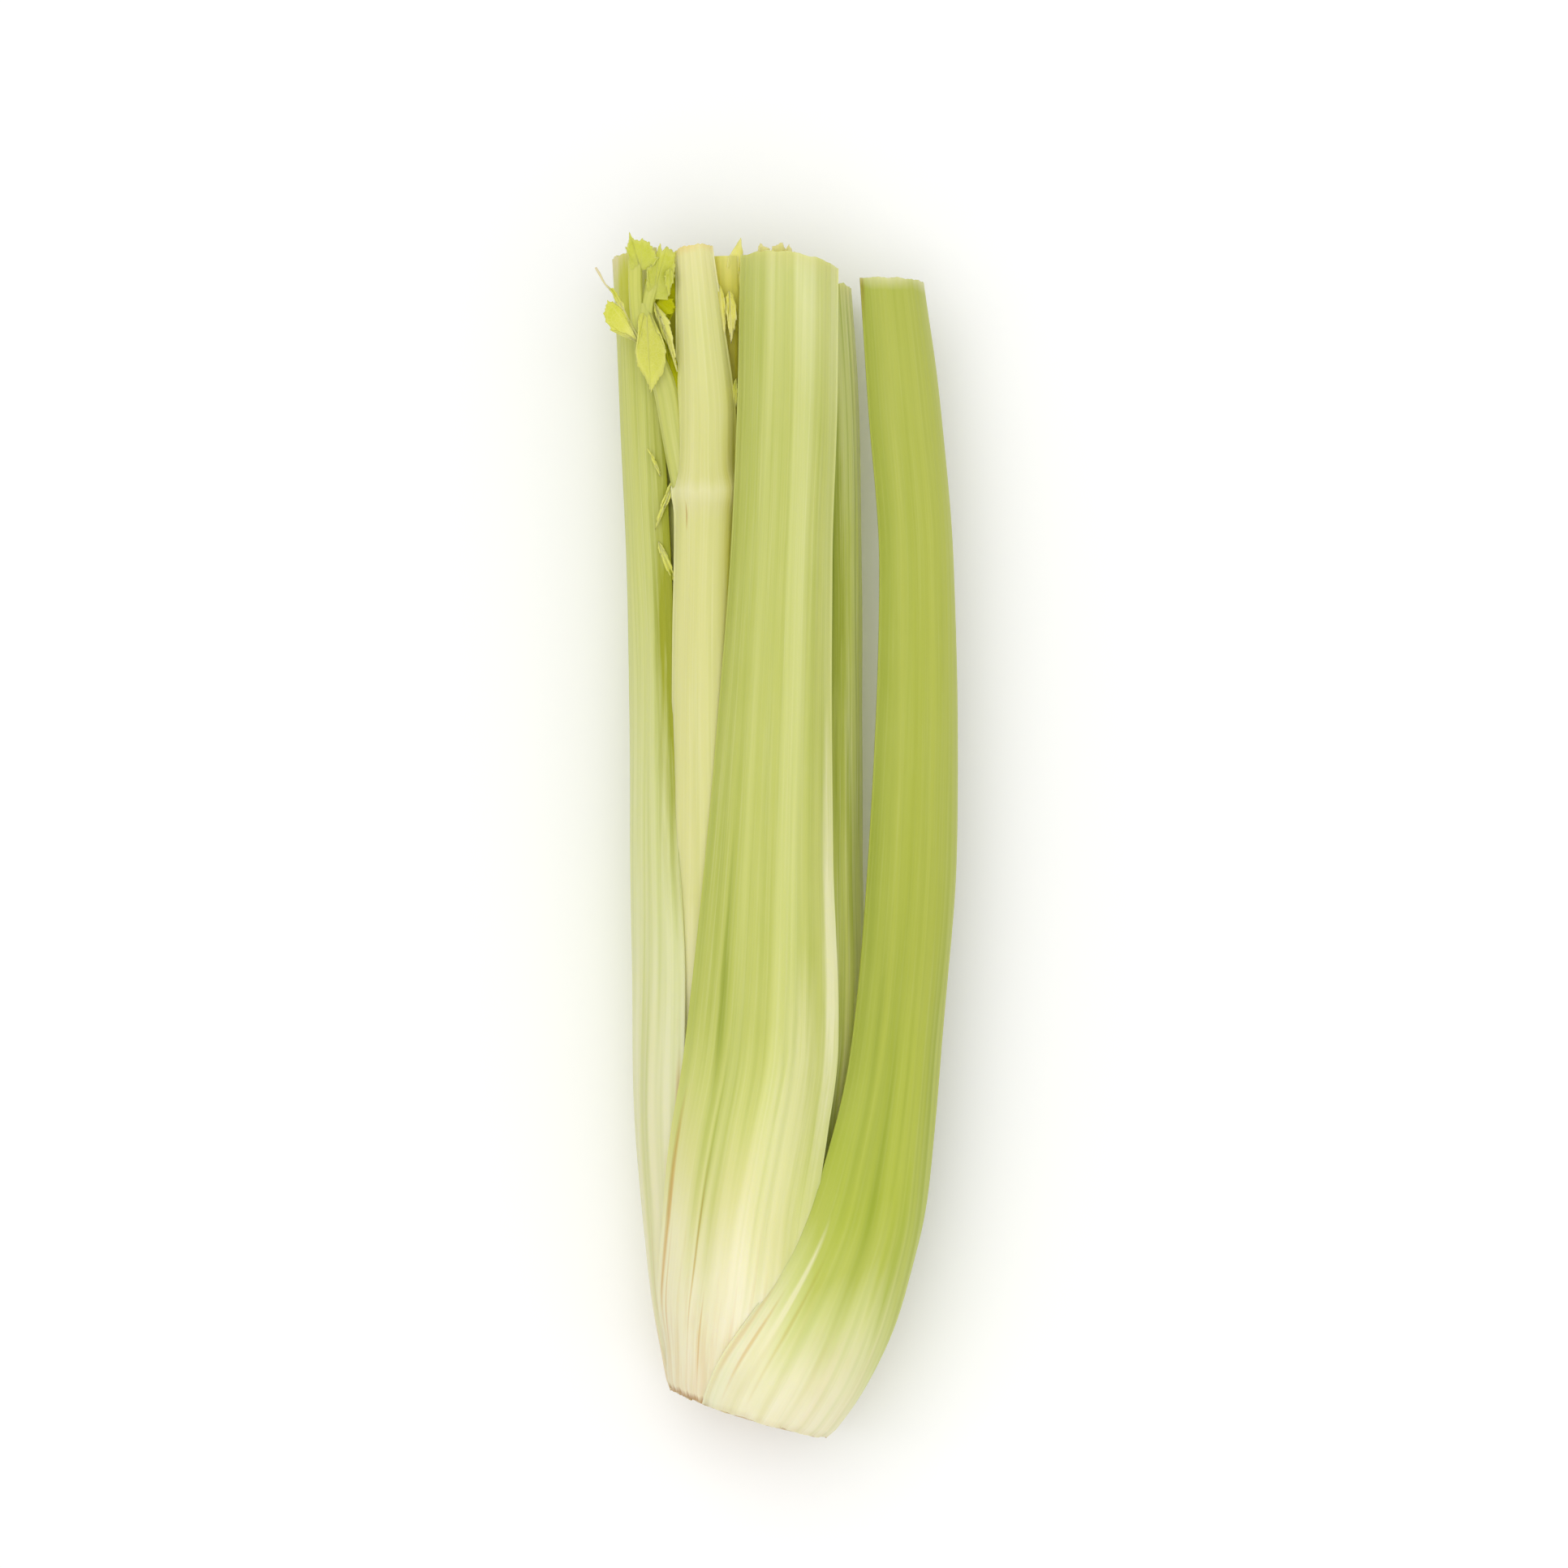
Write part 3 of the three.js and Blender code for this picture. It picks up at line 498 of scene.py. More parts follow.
stalkRight = dict(
    node="stalk_right", slot="outer_stalk_green", rind="greenOuterCeleryRind",
    root=(0, 24.2, 80, 43, 6.6),
    run=[
        (-133, -10.9, 29.2, 29.2, 73, 43, 6.8), (-118, -3, 29.5, 29.6, 66, 47, 6.6),
        (-98, 6, 29.2, 26.6, 60, 49, 6.4), (-80, 11.9, 29, 23.6, 56, 52, 6.4),
        (-46, 18.5, 28.5, 20, 52.5, 53.5, 6.6), (11.5, 24.6, 28, 18.2, 55, 55, 6.8),
        (92, 26.7, 27.5, 15.4, 55, 55, 6.8), (138, 23.3, 27, 14.9, 55, 55, 6.4),
        (173.6, 20, 27, 13.6, 53, 54.5, 6),
    ],
    slant=(0.06, 0), ribs=9, ribHeight=0.55, ribShare=0.25, ragged=0.3, seed=11,
    look=dict(
        upwards=[(0, "#f4efd0"), (11, "#efebc2"), (25, "#dadd96"), (39, "#c2c962"), (58, "#b8c24b"),
                 (120, "#b3bb4d"), (330, "#b9bf5a")],
        paleLean=0.8, uneven=44,
        zones=[(0.0, "#ffffff"), (0.35, "#f8f9ea"), (0.5, "#fefef8"), (0.66, "#f3f5de"), (0.8, "#fbfbf0"),
               (0.9, "#eaeec8"), (1.0, "#e4e9bc")],
        bandShare=0.3, string="#cdd287", stringShare=0.2, patch="#c0c668", stainShare=0.15,
        streakShare=0.45,
        lines=(
            (0.98, 0.02, 0, 44, 0.35, "#ecc288", "MULTIPLY"),
            (0.92, 0.012, 0, 40, 0.5, "#e8c188", "MULTIPLY"),
            (0.84, 0.012, 0, 52, 0.45, "#e6d296", "MULTIPLY"),
            (0.88, 0.014, 4, 60, 0.5, "#f6f0cc", "MIX"),
            (0.42, 0.05, 16, 78, 0.6, "#a5b433", "MIX"),
            (0.5, 0.03, 26, 70, 0.5, "#a9b63a", "MIX"),
            (1.0, 0.05, 306, 330, 0.5, "#dcae72", "MULTIPLY"),
        ),
        rimShare=0.12, end="#dad8a6", endReach=5, endShare=0.9,
    ),
)
makeStalk(stalkRight)

stalkFront = dict(
    node="stalk_front", slot="outer_stalk", rind="paleGreenOuterCeleryRind",
    root=(0.3, 24, 52, 120, 5.2),
    run=[
        (-133, -14.3, 28.6, 26.6, 52, 117, 4.8), (-115, -14.2, 27.5, 29, 50, 110, 5),
        (-92, -14.5, 28.3, 29.2, 48, 103, 5.4), (-69, -14.2, 28.5, 30.4, 46, 95, 5.8),
        (-43.7, -12, 32.2, 29, 47, 91, 6.4), (11.5, -10.1, 37.5, 22.2, 52, 90, 7),
        (92, -6.9, 42, 16.5, 58, 90, 7.4), (138, -5.1, 42, 15.8, 60, 90, 7),
        (179.8, -4.4, 41.3, 15.4, 60, 90, 6.6),
    ],
    slant=(0.3, -0.12), ribs=10, ribHeight=0.6, ribShare=0.36, ridges=0.24, ragged=0.3, seed=23,
    look=dict(
        upwards=[(0, "#f2e9ce"), (34, "#f6efd2"), (60, "#e8e4ac"), (82, "#dcde94"), (108, "#cfd380"),
                 (290, "#ced286"), (322, "#dcdea2")],
        paleLean=0.8, uneven=42,
        zones=[(0.0, "#fcfcf4"), (0.09, "#f4f5e6"), (0.14, "#e9ebc8"), (0.25, "#edefd0"), (0.3, "#ffffff"),
               (0.43, "#fdfdf4"), (0.47, "#ebedc6"), (0.62, "#eceecb"), (0.66, "#f8f8e8"),
               (0.72, "#e8ebc2"), (1.0, "#e4e8be")],
        bandShare=0.4, stringShare=0.2, furrowShare=0.2, streakShare=0.4, stainShare=0.35,
        lines=(
            (0.05, 0.1, 50, 210, 0.75, "#f0ecc2", "MIX"),
            (0.26, 0.18, 24, 140, 0.45, "#ebe7b4", "MIX"),
            (0.78, 0.03, 84, 170, 0.6, "#c6d07c", "MULTIPLY"),
            (0.7, 0.025, 30, 110, 0.5, "#cdd68a", "MULTIPLY"),
            (0.95, 0.03, 14, 100, 0.75, "#e8bb80", "MULTIPLY"),
            (0.9, 0.014, 2, 60, 0.5, "#eac592", "MULTIPLY"),
            (0.7, 0.014, 2, 84, 0.6, "#e4bf86", "MULTIPLY"),
            (0.6, 0.012, 0, 40, 0.5, "#e9c692", "MULTIPLY"),
        ),
    ),
)
makeStalk(stalkFront)

stalkLeft = dict(
    node="stalk_left", slot="outer_stalk", rind="creamyOuterCeleryRind", rootStep=0.15,
    root=(0, 24.2, 50, 190, 5),
    run=[
        (-131, -17.2, 27.4, 25.4, 52, 188, 5.1), (-115, -18.6, 26.5, 25.6, 52, 186, 5.2),
        (-69, -23.6, 26, 24.5, 57.5, 175.5, 5.4), (-23, -26.9, 27.6, 21.9, 56, 166, 5.6),
        (11.5, -31.5, 28.5, 18, 54.5, 158.5, 6), (76, -36.1, 28, 14, 56.5, 152.5, 6.2),
        (138, -39.2, 28.5, 13.5, 56, 152, 6), (180.4, -41.6, 29, 12.8, 56, 150, 5.6),
    ],
    slant=(0.1, 0.1), ribs=8, ribHeight=0.5, ridges=0.6, tucked=(1.9, 0), seed=37,
    look=dict(
        upwards=[(0, "#ece3c4"), (60, "#eae5c2"), (110, "#e5e4bc"), (155, "#dddfaa"), (235, "#cfd284"),
                 (300, "#c8cb70"), (330, "#d0d07c")],
        # painted shade: a saturated olive on the inner side above 190 mm, for the shaded gap beside the
        # pale stalk
        inner="#c2c032", innerFrom=190,
        lines=(
            (0.4, 0.2, 300, 334, 0.8, "#c2c42e", "MIX"),
            # painted shade: the right margin darkened where it lies in the gap
            (0.0, 0.26, 120, 326, 1.0, "#c4c648", "MULTIPLY"),
            (0.03, 0.04, 50, 108, 0.6, "#dea668", "MULTIPLY"),
            (0.12, 0.025, 20, 80, 0.4, "#e2b887", "MULTIPLY"),
        ),
        end="#dfd2a2", endReach=13, endShare=0.9,
    ),
)
makeStalk(stalkLeft)

stalkBackLeft = dict(
    node="stalk_back_left", slot="outer_stalk", rind="paleUnderCeleryRind", rootStep=0.25,
    root=(0, 24, 50, 247, 5.4),
    run=[
        (-132, -14.8, 28.2, 26.8, 50, 246, 5.4), (-115, -15, 27.4, 27.8, 51, 245, 5.4),
        (-69, -18.5, 25.4, 26, 53, 244, 5.6), (-23, -23, 21.7, 22.4, 56, 244, 5.8),
        (14, -26.5, 17.7, 18.5, 56, 240, 6.4), (92, -31.5, 15.2, 16, 57, 236, 6.8),
        (172, -33, 15, 15.2, 57, 235, 6.2),
    ],
    slant=(0.1, 0), ribs=9, ribHeight=0.5, tucked=(2.0, 0), seed=41,
    look=dict(
        upwards=[(0, "#e4dab4"), (40, "#e6dfb8"), (80, "#d8d892"), (125, "#c9cd78"), (330, "#c5ca74")],
        # painted shade: the dark olive inner colour stands for the shade in the gap between the stalks
        inner="#b6b31c", innerShare=0.9,
    ),
)
makeStalk(stalkBackLeft)

stalkBackRight = dict(
    node="stalk_back_right", slot="outer_stalk_green", rind="greenUnderCeleryRind", rootStep=0.35,
    root=(0, 22.4, 44, 320, 5),
    run=[
        (-132, -12, 28.5, 25, 45, 319, 5), (-115, -6.5, 28.4, 26, 47, 315, 5),
        (-69, -2, 23.5, 23, 53, 300, 5.6), (-46, 0, 20, 20.4, 57, 290, 6),
        (-20, 0, 17.2, 18, 59, 286, 6.4), (11.5, 0, 16.2, 17, 60, 282, 6.8),
        (92, 0, 15.2, 16, 60, 282, 6.8), (170.6, -1.2, 15, 14.2, 60, 282, 6.2),
    ],
    slant=(0.1, 0.05), ribs=9, ribHeight=0.5, tucked=(0.7, 0), seed=53,
    look=dict(
        upwards=[(0, "#e6ddb6"), (30, "#e4dfb2"), (65, "#cacf7c"), (100, "#bac162"), (330, "#b9c062")],
        string="#cdd287",
    ),
)
makeStalk(stalkBackRight)

stalkInnerRight = dict(
    node="stalk_inner_right", slot="outer_stalk_green", rind="paintedLightAndShadowGreenCeleryRind",
    root=(7, 18, 46, 18, 4.6),
    run=[
        (-112, -9, 30, 19.5, 48, 24, 4.8), (-69, -5, 31, 18, 52, 30, 5.2),
        (-40, 0.6, 32, 16.2, 56, 36, 5.6), (11.5, 1, 31, 15.3, 58, 35, 6),
        (92, 1.1, 31, 15, 58, 35, 6.2), (138, 0.7, 31, 14.5, 58, 35, 6),
        (171.8, -0.6, 31, 13.5, 58, 35, 5.6),
    ],
    slant=(0.1, 0.05), ribs=8, ribHeight=0.5, seed=61,
    look=dict(
        # painted light: the colours from 50 mm up are lifted to make up for the shade the front stalk casts
        # on it
        upwards=[(0, "#e8e0b4"), (50, "#e2e0a0"), (110, "#d2d67c"), (160, "#bec563"), (240, "#bec566"),
                 (320, "#dfe2a8")],
        band="#cdd68e", bandShare=1.0, stringShare=0.5, stainShare=0.3,
        # painted shadow: a darker band up the back where the front stalk shades it
        lines=((0.71, 0.15, 130, 326, 0.8, "#d0d584", "MULTIPLY"),),
    ),
)
makeStalk(stalkInnerRight)

stalkInnerLeft = dict(
    node="stalk_inner_left", slot="inner_stalk", rind="blanchedInnerCeleryRind",
    root=(9, 16.6, 44, 125, 4.8),
    run=[
        (-112, -14, 31, 19, 42, 119, 5), (-69, -20.5, 33, 17, 46, 112, 5.4),
        (-43.7, -25.3, 35.5, 13.5, 52, 110, 6), (11.5, -27, 39, 11, 65, 100, 7),
        (70, -27.9, 41, 9.5, 67, 96, 8), (107, -27.7, 41, 9.3, 68, 94, 8.6),
        (113.5, -27.6, 41, 10.2, 70, 94, 9.4), (120, -27.8, 41.4, 8.8, 69, 94, 8.8),
        (138, -27.8, 42.4, 8.5, 69, 94, 8.4), (161, -29.5, 44, 6.9, 69, 94, 7.6),
        (182.2, -31.3, 45.8, 5.4, 68, 94, 6.8),
    ],
    slant=(0.22, 0.12), ribs=6, ribHeight=0.35, ribShare=0.3, ragged=0.25, seed=71,
    look=dict(
        # painted light: from 60 to 114 mm the colours are lifted against the shade of the left stalk's
        # margin over it
        upwards=[(0, "#ebe3ba"), (60, "#f4eec8"), (114, "#f4efc4"), (138, "#e2dfa0"), (243, "#dddb96"),
                 (248, "#dfdba0"), (252, "#e6e2b0"), (256, "#dedb98"), (264, "#dddb96"), (300, "#e2e19e"),
                 (322, "#ece6b0")],  # paler over the knuckle
        uneven=8,
        # painted light: the zones are lighter at both margins, to lift the shade of the turned edges
        zones=[(0.0, "#ffffff"), (0.14, "#fbfbf0"), (0.32, "#f5f5e8"), (0.7, "#f7f7ec"), (0.88, "#fbfbf0"),
               (1.0, "#ffffff")],
        # painted light: the inner colour is a light, saturated yellow that lifts the shaded side walls
        bandShare=0.3, string="#ece9c0", furrow="#eeecc8", patch="#e0dca0", inner="#e8e25a",
        lines=(
            # painted shade along the right side, and painted light along the left margin against its
            # self-shading
            (0.0, 0.34, 150, 318, 0.9, "#f2f084", "MULTIPLY"),
            (1.0, 0.16, 236, 336, 1.0, "#fbf9a8", "MIX"),
            (0.74, 0.014, 240, 250, 0.8, "#b8924e", "MIX"),
        ),
        end="#e3c678", endReach=3.5, endShare=0.8, stainShare=0.3,
    ),
)
makeStalk(stalkInnerLeft, across=110)

stalkInnerBack = dict(
    node="stalk_inner_back", slot="inner_stalk", rind="paleInnerCeleryRind",
    root=(7, 17.6, 46, 262, 4.6),
    run=[
        (-112, -12.5, 28.5, 18, 48, 262, 4.8), (-69, -13, 27, 17, 52, 262, 5),
        (11.5, -16, 25, 14, 56, 262, 5.6), (92, -16, 24.5, 13, 58, 262, 6),
        (177, -17, 24, 12, 58, 262, 5.4),
    ],
    slant=(-0.1, 0.05), ribs=6, ribHeight=0.4, seed=83,
    look=dict(
        upwards=[(0, "#ebe3ba"), (70, "#e2dea4"), (140, "#d4d486"), (320, "#cfd180")],
        stainShare=0.3,
    ),
)
makeStalk(stalkInnerBack, across=100)

# heart stalks: short, round and pale, hidden but for their leafy tips
heartLook = dict(
    upwards=[(0, "#ece5bd"), (90, "#e4e0a8"), (200, "#d8d88e"), (320, "#d0d27e")],
    bandShare=0.35, string="#ebe8b8", inner="#e2e0a4", stainShare=0.15,
)
heartStalks = {
    "left": dict(
        root=(12, 7, 60, 150, 4),
        run=[
            (-110, -18, 31.5, 5.5, 62, 140, 4.6), (-60, -23, 31, 4.6, 66, 125, 5),
            (0, -29, 30.6, 4.2, 70, 115, 5.2), (60, -33.6, 32.6, 3.8, 72, 110, 5.2),
            (96, -35.4, 35.4, 3.2, 74, 110, 4.6), (122, -37, 37.4, 2.4, 75, 110, 3.8),
        ],
        slant=(0, 0), seed=91,
    ),
    "front": dict(
        root=(13, 6, 55, 30, 4),
        run=[
            (-110, -9.5, 34, 5.6, 60, 50, 4.6), (-60, -9.5, 34.5, 5, 66, 60, 5),
            (0, -9, 36, 4.6, 68, 70, 5.2), (92, -8, 38, 4.5, 70, 75, 5.2),
            (176, -8.4, 39, 4.2, 70, 80, 5),
        ],
        slant=(0.1, 0), seed=93,
    ),
    "back": dict(
        root=(13, 6, 55, 300, 4),
        run=[
            (-110, -11, 26, 5.4, 60, 292, 4.4), (-60, -9.5, 26, 4.8, 66, 300, 4.8),
            (0, -8, 26.4, 4.5, 68, 305, 5), (92, -7.5, 27.2, 4.4, 70, 310, 5),
            (163, -8.5, 27.5, 4, 70, 310, 4.8),
        ],
        slant=(-0.1, 0), seed=95,
    ),
    "outer": dict(
        root=(13, 6, 55, 215, 4),
        run=[
            (-110, -18.5, 26, 5.4, 60, 215, 4.4), (-60, -22, 26, 4.8, 66, 215, 4.8),
            (0, -25.5, 25, 4.5, 68, 212, 5), (92, -28, 26.8, 4.4, 70, 210, 5),
            (168, -29, 27, 4, 70, 208, 4.8),
        ],
        slant=(-0.1, 0), seed=97,
    ),
}
for side, heart in heartStalks.items():
    heart.update(node=f"heart_stalk_{side}", slot="heart_stalk", rind=f"blanchedHeartCeleryRind.{side}")
    heart.update(ribs=3, ribHeight=0.15, ragged=0.2, look=heartLook)
    makeStalk(heart, across=44, deep=6, rowsPer=3.0)

# The cut root plate: dry, fibrous flesh. The bases of the young stalks show in it as thin rusty curves, one
# inside the other, with string ends as small dots between them. It gives the eye a dull, pale tan disc.
crown = {
    "radius": 20,
    "profile": [(0, 0), (18.6, 0), (19.8, 0.5), (20, 1.4), (19.8, 5.9), (17.2, 9.4), (10, 12.1), (0.2, 13)],
    "rings": 60,
    "around": 128,
    "inset": -0.45,
    "seed": 5,
}
plateLook = {
    "swirlScale": 0.07,
    "swirl": 14.0,
    "ringStep": 3.3,
    "outwards": [(0.0, "#ece2bc"), (0.55, "#e4d5a8"), (1.0, "#d3b888")],
    "pith": "#cdb27c",
    "dry": "#c49c66",
    "line": "#a0713e",
    "dot": "#a57f4c",
}
plateBody = {
    "Roughness": 0.65,
    "IOR": 1.37,
    "Subsurface Weight": 0.2,
    "Subsurface Radius": (1.0, 0.8, 0.4),
    "Subsurface Scale": 0.0015,
}


def plateFlesh(look):
    finish, add = newFinish("driedCutCeleryPlate")
    lay = add("Attribute", out="Vector", attribute_name="lay")
    flat = add("Mapping", {"Vector": lay, "Scale": (1.0, 1.0, 0.0)})
    # the rings are bent by a slow swirl, which is 0.5 in the mean
    swirl = add("TexNoise", {"Vector": flat, "Scale": look["swirlScale"], "Detail": 1.0}, out=1)
    push, mean = (look["swirl"], look["swirl"], 0.0), (look["swirl"] / 2, look["swirl"] / 2, 0.0)
    bent = add("VectorMath", [swirl, push, flat], operation="MULTIPLY_ADD")
    bent = add("VectorMath", [bent, mean], operation="SUBTRACT")
    out = add("VectorMath", [bent], out=1, operation="LENGTH")
    # sin(2 pi r / ringStep): a line where it is near 1, string ends where it is below 0
    ring = add("Math", [out, 2 * math.pi / look["ringStep"]], operation="MULTIPLY")
    ring = add("Math", [ring], operation="SINE")
    pith = add("TexNoise", {"Vector": flat, "Scale": 1.3, "Detail": 4.0, "Roughness": 0.65})
    worn = add("TexNoise", {"Vector": flat, "Scale": 0.2, "Detail": 3.0})
    ends = add("TexVoronoi", {"Vector": flat, "Scale": 0.75})
    part = add("Math", [out, crown["radius"]], operation="DIVIDE")
    colour = add("ValToRGB", [part], stops=look["outwards"])
    line = add("MapRange", [ring, 0.72, 1.0])
    line = add("Math", [line, worn], operation="MULTIPLY")
    between = add("MapRange", [ring, 0.3, -0.6])
    dot = add("MapRange", [ends, 0.3, 0.12])
    dot = add("Math", [dot, between], operation="MULTIPLY")
    layers = (
        (pith, 0.45, 0.75, 0.5, look["pith"]),
        (worn, 0.5, 0.75, 0.6, look["dry"]),
        (line, 0.28, 0.62, 0.75, look["line"]),
        (dot, 0.0, 1.0, 0.55, look["dot"]),
    )
    colour = layColours(add, colour, layers)
    relief = add("Math", [line, -1.5, pith], operation="MULTIPLY_ADD")
    bump = add("Bump", {"Height": relief, "Strength": 0.8, "Distance": 0.0004})
    endFinish(add, {"Base Color": colour, "Normal": bump, **plateBody})
    return finish


def makeCrown():
    # The plug that the inner stalks grow from: its profile, from the middle of the cut face up the side and
    # over the dome, is turned round the root axis
    out, height = np.array(crown["profile"]).T
    way = np.concatenate([[0], np.cumsum(np.hypot(np.diff(out), np.diff(height)))])
    step = np.linspace(0, way[-1], crown["rings"] + 2)[1:-1]
    r, h = np.interp(step, way, out), np.interp(step, way, height)
    turn = np.linspace(0, 2 * math.pi, crown["around"], endpoint=False)
    rGrid, turnGrid = np.meshgrid(r, turn, indexing="ij")
    hGrid = np.repeat(h[:, None], crown["around"], axis=1) + crown["inset"]
    onCut = hGrid < crown["inset"] + 0.4
    hGrid = hGrid + np.where(onCut, 0.35 * wander(rGrid * 0.6, turnGrid * 3, crown["seed"]), 0)
    across, rise = rGrid * np.cos(turnGrid), rGrid * np.sin(turnGrid)
    points = (
        np.array(head["rootCentre"])
        + hGrid[..., None] * rootAxis
        + across[..., None] * np.cross(rootAxis, (0, 0, 1))
        + rise[..., None] * np.array([0, 0, 1.0])
    ).reshape(-1, 3)
    faces = tubeFaces(crown["rings"], crown["around"])
    lay = np.stack([across, rise, hGrid], axis=-1).reshape(-1, 3)
    finishOf = np.zeros(len(faces[0]) + 2)
    piece = meshPiece("crown_root_plate", points, faces, [plateFlesh(plateLook)], finishOf, {"lay": lay})
    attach(piece, "root")
    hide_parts("crown")
    print("made crown_root_plate")


makeCrown()

# Round leaf stems with a shallow channel on top. A stem's points are x, y, z, half width and half height.


def stemPoints(points, turn, share):
    # An oval carried along a curve through the points, w cos(turn) by h sin(turn), with a channel on top
    # that takes a fifth off the height round turn = 90 degrees, and eight faint strings
    points = np.asarray(points, float)
    way = np.concatenate([[0], np.cumsum(np.linalg.norm(np.diff(points[:, :3], axis=0), axis=1))])
    at = share * way[-1]
    middle, girth = curveThrough(way, points[:, :3], at), curveThrough(way, points[:, 3:], at)
    ahead = curveThrough(way, points[:, :3], at + 0.05) - curveThrough(way, points[:, :3], at - 0.05)
    ahead /= np.linalg.norm(ahead, axis=1)[:, None]
    across = np.cross(ahead, (0, 0, 1))
    across /= np.linalg.norm(across, axis=1)[:, None]
    over = np.cross(across, ahead)
    channel = 1 - 0.2 * np.exp(-(((turn - math.pi / 2) / 0.45) ** 2))
    strings = 1 + 0.035 * np.cos(8 * turn)
    out = girth[:, 0] * np.cos(turn) * strings
    rise = girth[:, 1] * np.sin(turn) * strings * channel
    return middle, across * out[:, None] + over * rise[:, None], at


def makeStem(stem, look, around=40):
    # rings along the stem, then smaller rings that close each end, with a dome on the far one
    closing = np.array([0.02, 0.3, 0.6, 0.85])
    steps = stem["steps"]
    share = np.concatenate([np.zeros(4), np.linspace(0, 1, steps), np.ones(4)])
    shrink = np.concatenate([closing, np.ones(steps), closing[::-1]])
    count = len(share)
    turn = np.tile(np.linspace(0, 2 * math.pi, around, endpoint=False), count)
    middle, section, at = stemPoints(stem["points"], turn, np.repeat(share, around))
    shrunk = np.repeat(shrink, around)
    points = middle + section * shrunk[:, None]
    ahead = np.array(stem["points"][-1][:3]) - np.array(stem["points"][-2][:3])
    push = stem["dome"] * (1 - shrunk) * (np.arange(len(points)) >= (4 + steps) * around)
    points += push[:, None] * ahead / np.linalg.norm(ahead)
    onEnd = np.repeat(np.arange(count - 1) >= 3 + steps, around)
    finishOf = np.concatenate([onEnd * stem["endFinish"], [0, stem["endFinish"]]])
    lay = np.stack([turn * 2.5, (1 - shrunk) * 2.4, stem["height"] + at], axis=1)
    layers = {"lay": lay, "rib": 0.5 + 0.5 * np.cos(8 * turn)}
    rind = celeryRind(stem["rind"], look, stem["height"] + at.max() + 2, 2.5 * math.pi)
    faces = tubeFaces(count, around)
    piece = meshPiece(stem["piece"], points, faces, [rind, freshCutFlesh], finishOf, layers)
    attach(piece, "root")
    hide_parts("stalk_inner_left")
    print("made", stem["piece"])


stemLook = dict(
    upwards=[(0, "#c6c874"), (290, "#c4c66c"), (306, "#c6c864"), (330, "#cccd66")],
    uneven=4,
    zones=[(0.0, "#ffffff"), (1.0, "#ffffff")],
    bandShare=0.3, stringShare=0.25, furrowShare=0.3, patchShare=0.0, innerShare=0.0, stainShare=0.0,
    endShare=0.0,
)
stubLook = dict(
    stemLook,
    # painted light and shade: the colours are lifted from 240 to 274 mm against the shade of the gap, and
    # dark olive round 292 mm where the stub goes down into it
    upwards=[(0, "#c9c26c"), (240, "#dad356"), (274, "#cfc83a"), (292, "#a8a010"), (301, "#b4ac24"),
             (307, "#dcd552"), (314, "#dbd45e"), (322, "#e2dc7e")],
    inner="#c8c030", innerShare=0.6, string="#ddd488", stringShare=0.4, patch="#b6ae30",
    patchShare=0.3,
)
# height is in mm above the knife cut, where the stem branches off; endFinish is 1 where the end is cut
leafyStem = dict(
    piece="leafy_stem", rind="slimCeleryStemRind", height=248, steps=60, dome=0.0, endFinish=0,
    points=[
        (-32.5, 106, 43.5, 2.6, 2.2), (-35, 117, 43.6, 3, 2.4), (-37.2, 129, 44, 3.1, 2.4),
        (-39.6, 142.6, 45.2, 3.2, 2.4), (-43, 152, 46.6, 2.9, 2.2), (-45.4, 161, 47.6, 2.7, 2),
        (-46, 166, 48, 2.2, 1.7),
    ],
)
twigLeft = dict(
    piece="leafy_stem_twig_left", rind="slimCeleryStemRind.left", height=300, steps=24, dome=2.0,
    endFinish=0,
    points=[(-46.8, 158, 47.4, 1.9, 1.7), (-47.6, 167, 48.4, 1.9, 1.6), (-47.8, 178, 49.2, 1.9, 0.8)],
)
twigRight = dict(
    piece="leafy_stem_twig_right", rind="slimCeleryStemRind.right", height=300, steps=24, dome=2.0,
    endFinish=0,
    points=[
        (-44.8, 158, 47.4, 1.9, 1.6), (-44.2, 166, 48.2, 1.8, 1.5), (-42.7, 172, 48.6, 2, 1.2),
        (-42.2, 177, 48.8, 2.2, 0.8),
    ],
)
yellowStub = dict(
    piece="yellow_stub", rind="yellowCeleryStemRind", height=250, steps=60, dome=0.0, endFinish=1,
    points=[
        (-24.5, 108, 45, 2.2, 2), (-22, 122, 42.6, 2.6, 2.2), (-21.4, 145, 41.6, 3, 2.4),
        (-21.6, 162, 42, 3.4, 2.3), (-21.8, 179.6, 42.4, 3.9, 2),
    ],
)
for stem in (leafyStem, twigLeft, twigRight):
    makeStem(stem, stemLook)
makeStem(yellowStub, stubLook)

# Young celery leaflets: thin, toothed blades with sunken veins. They give the eye a soft sheen, light that
# shines through at the margins, and paler veins that fan out to the lobes.
leafBody = {
    "Roughness": 0.5,
    "IOR": 1.42,
    "Subsurface Weight": 0.4,
    "Subsurface Radius": (1.0, 1.0, 0.25),
    "Subsurface Scale": 0.0012,
}


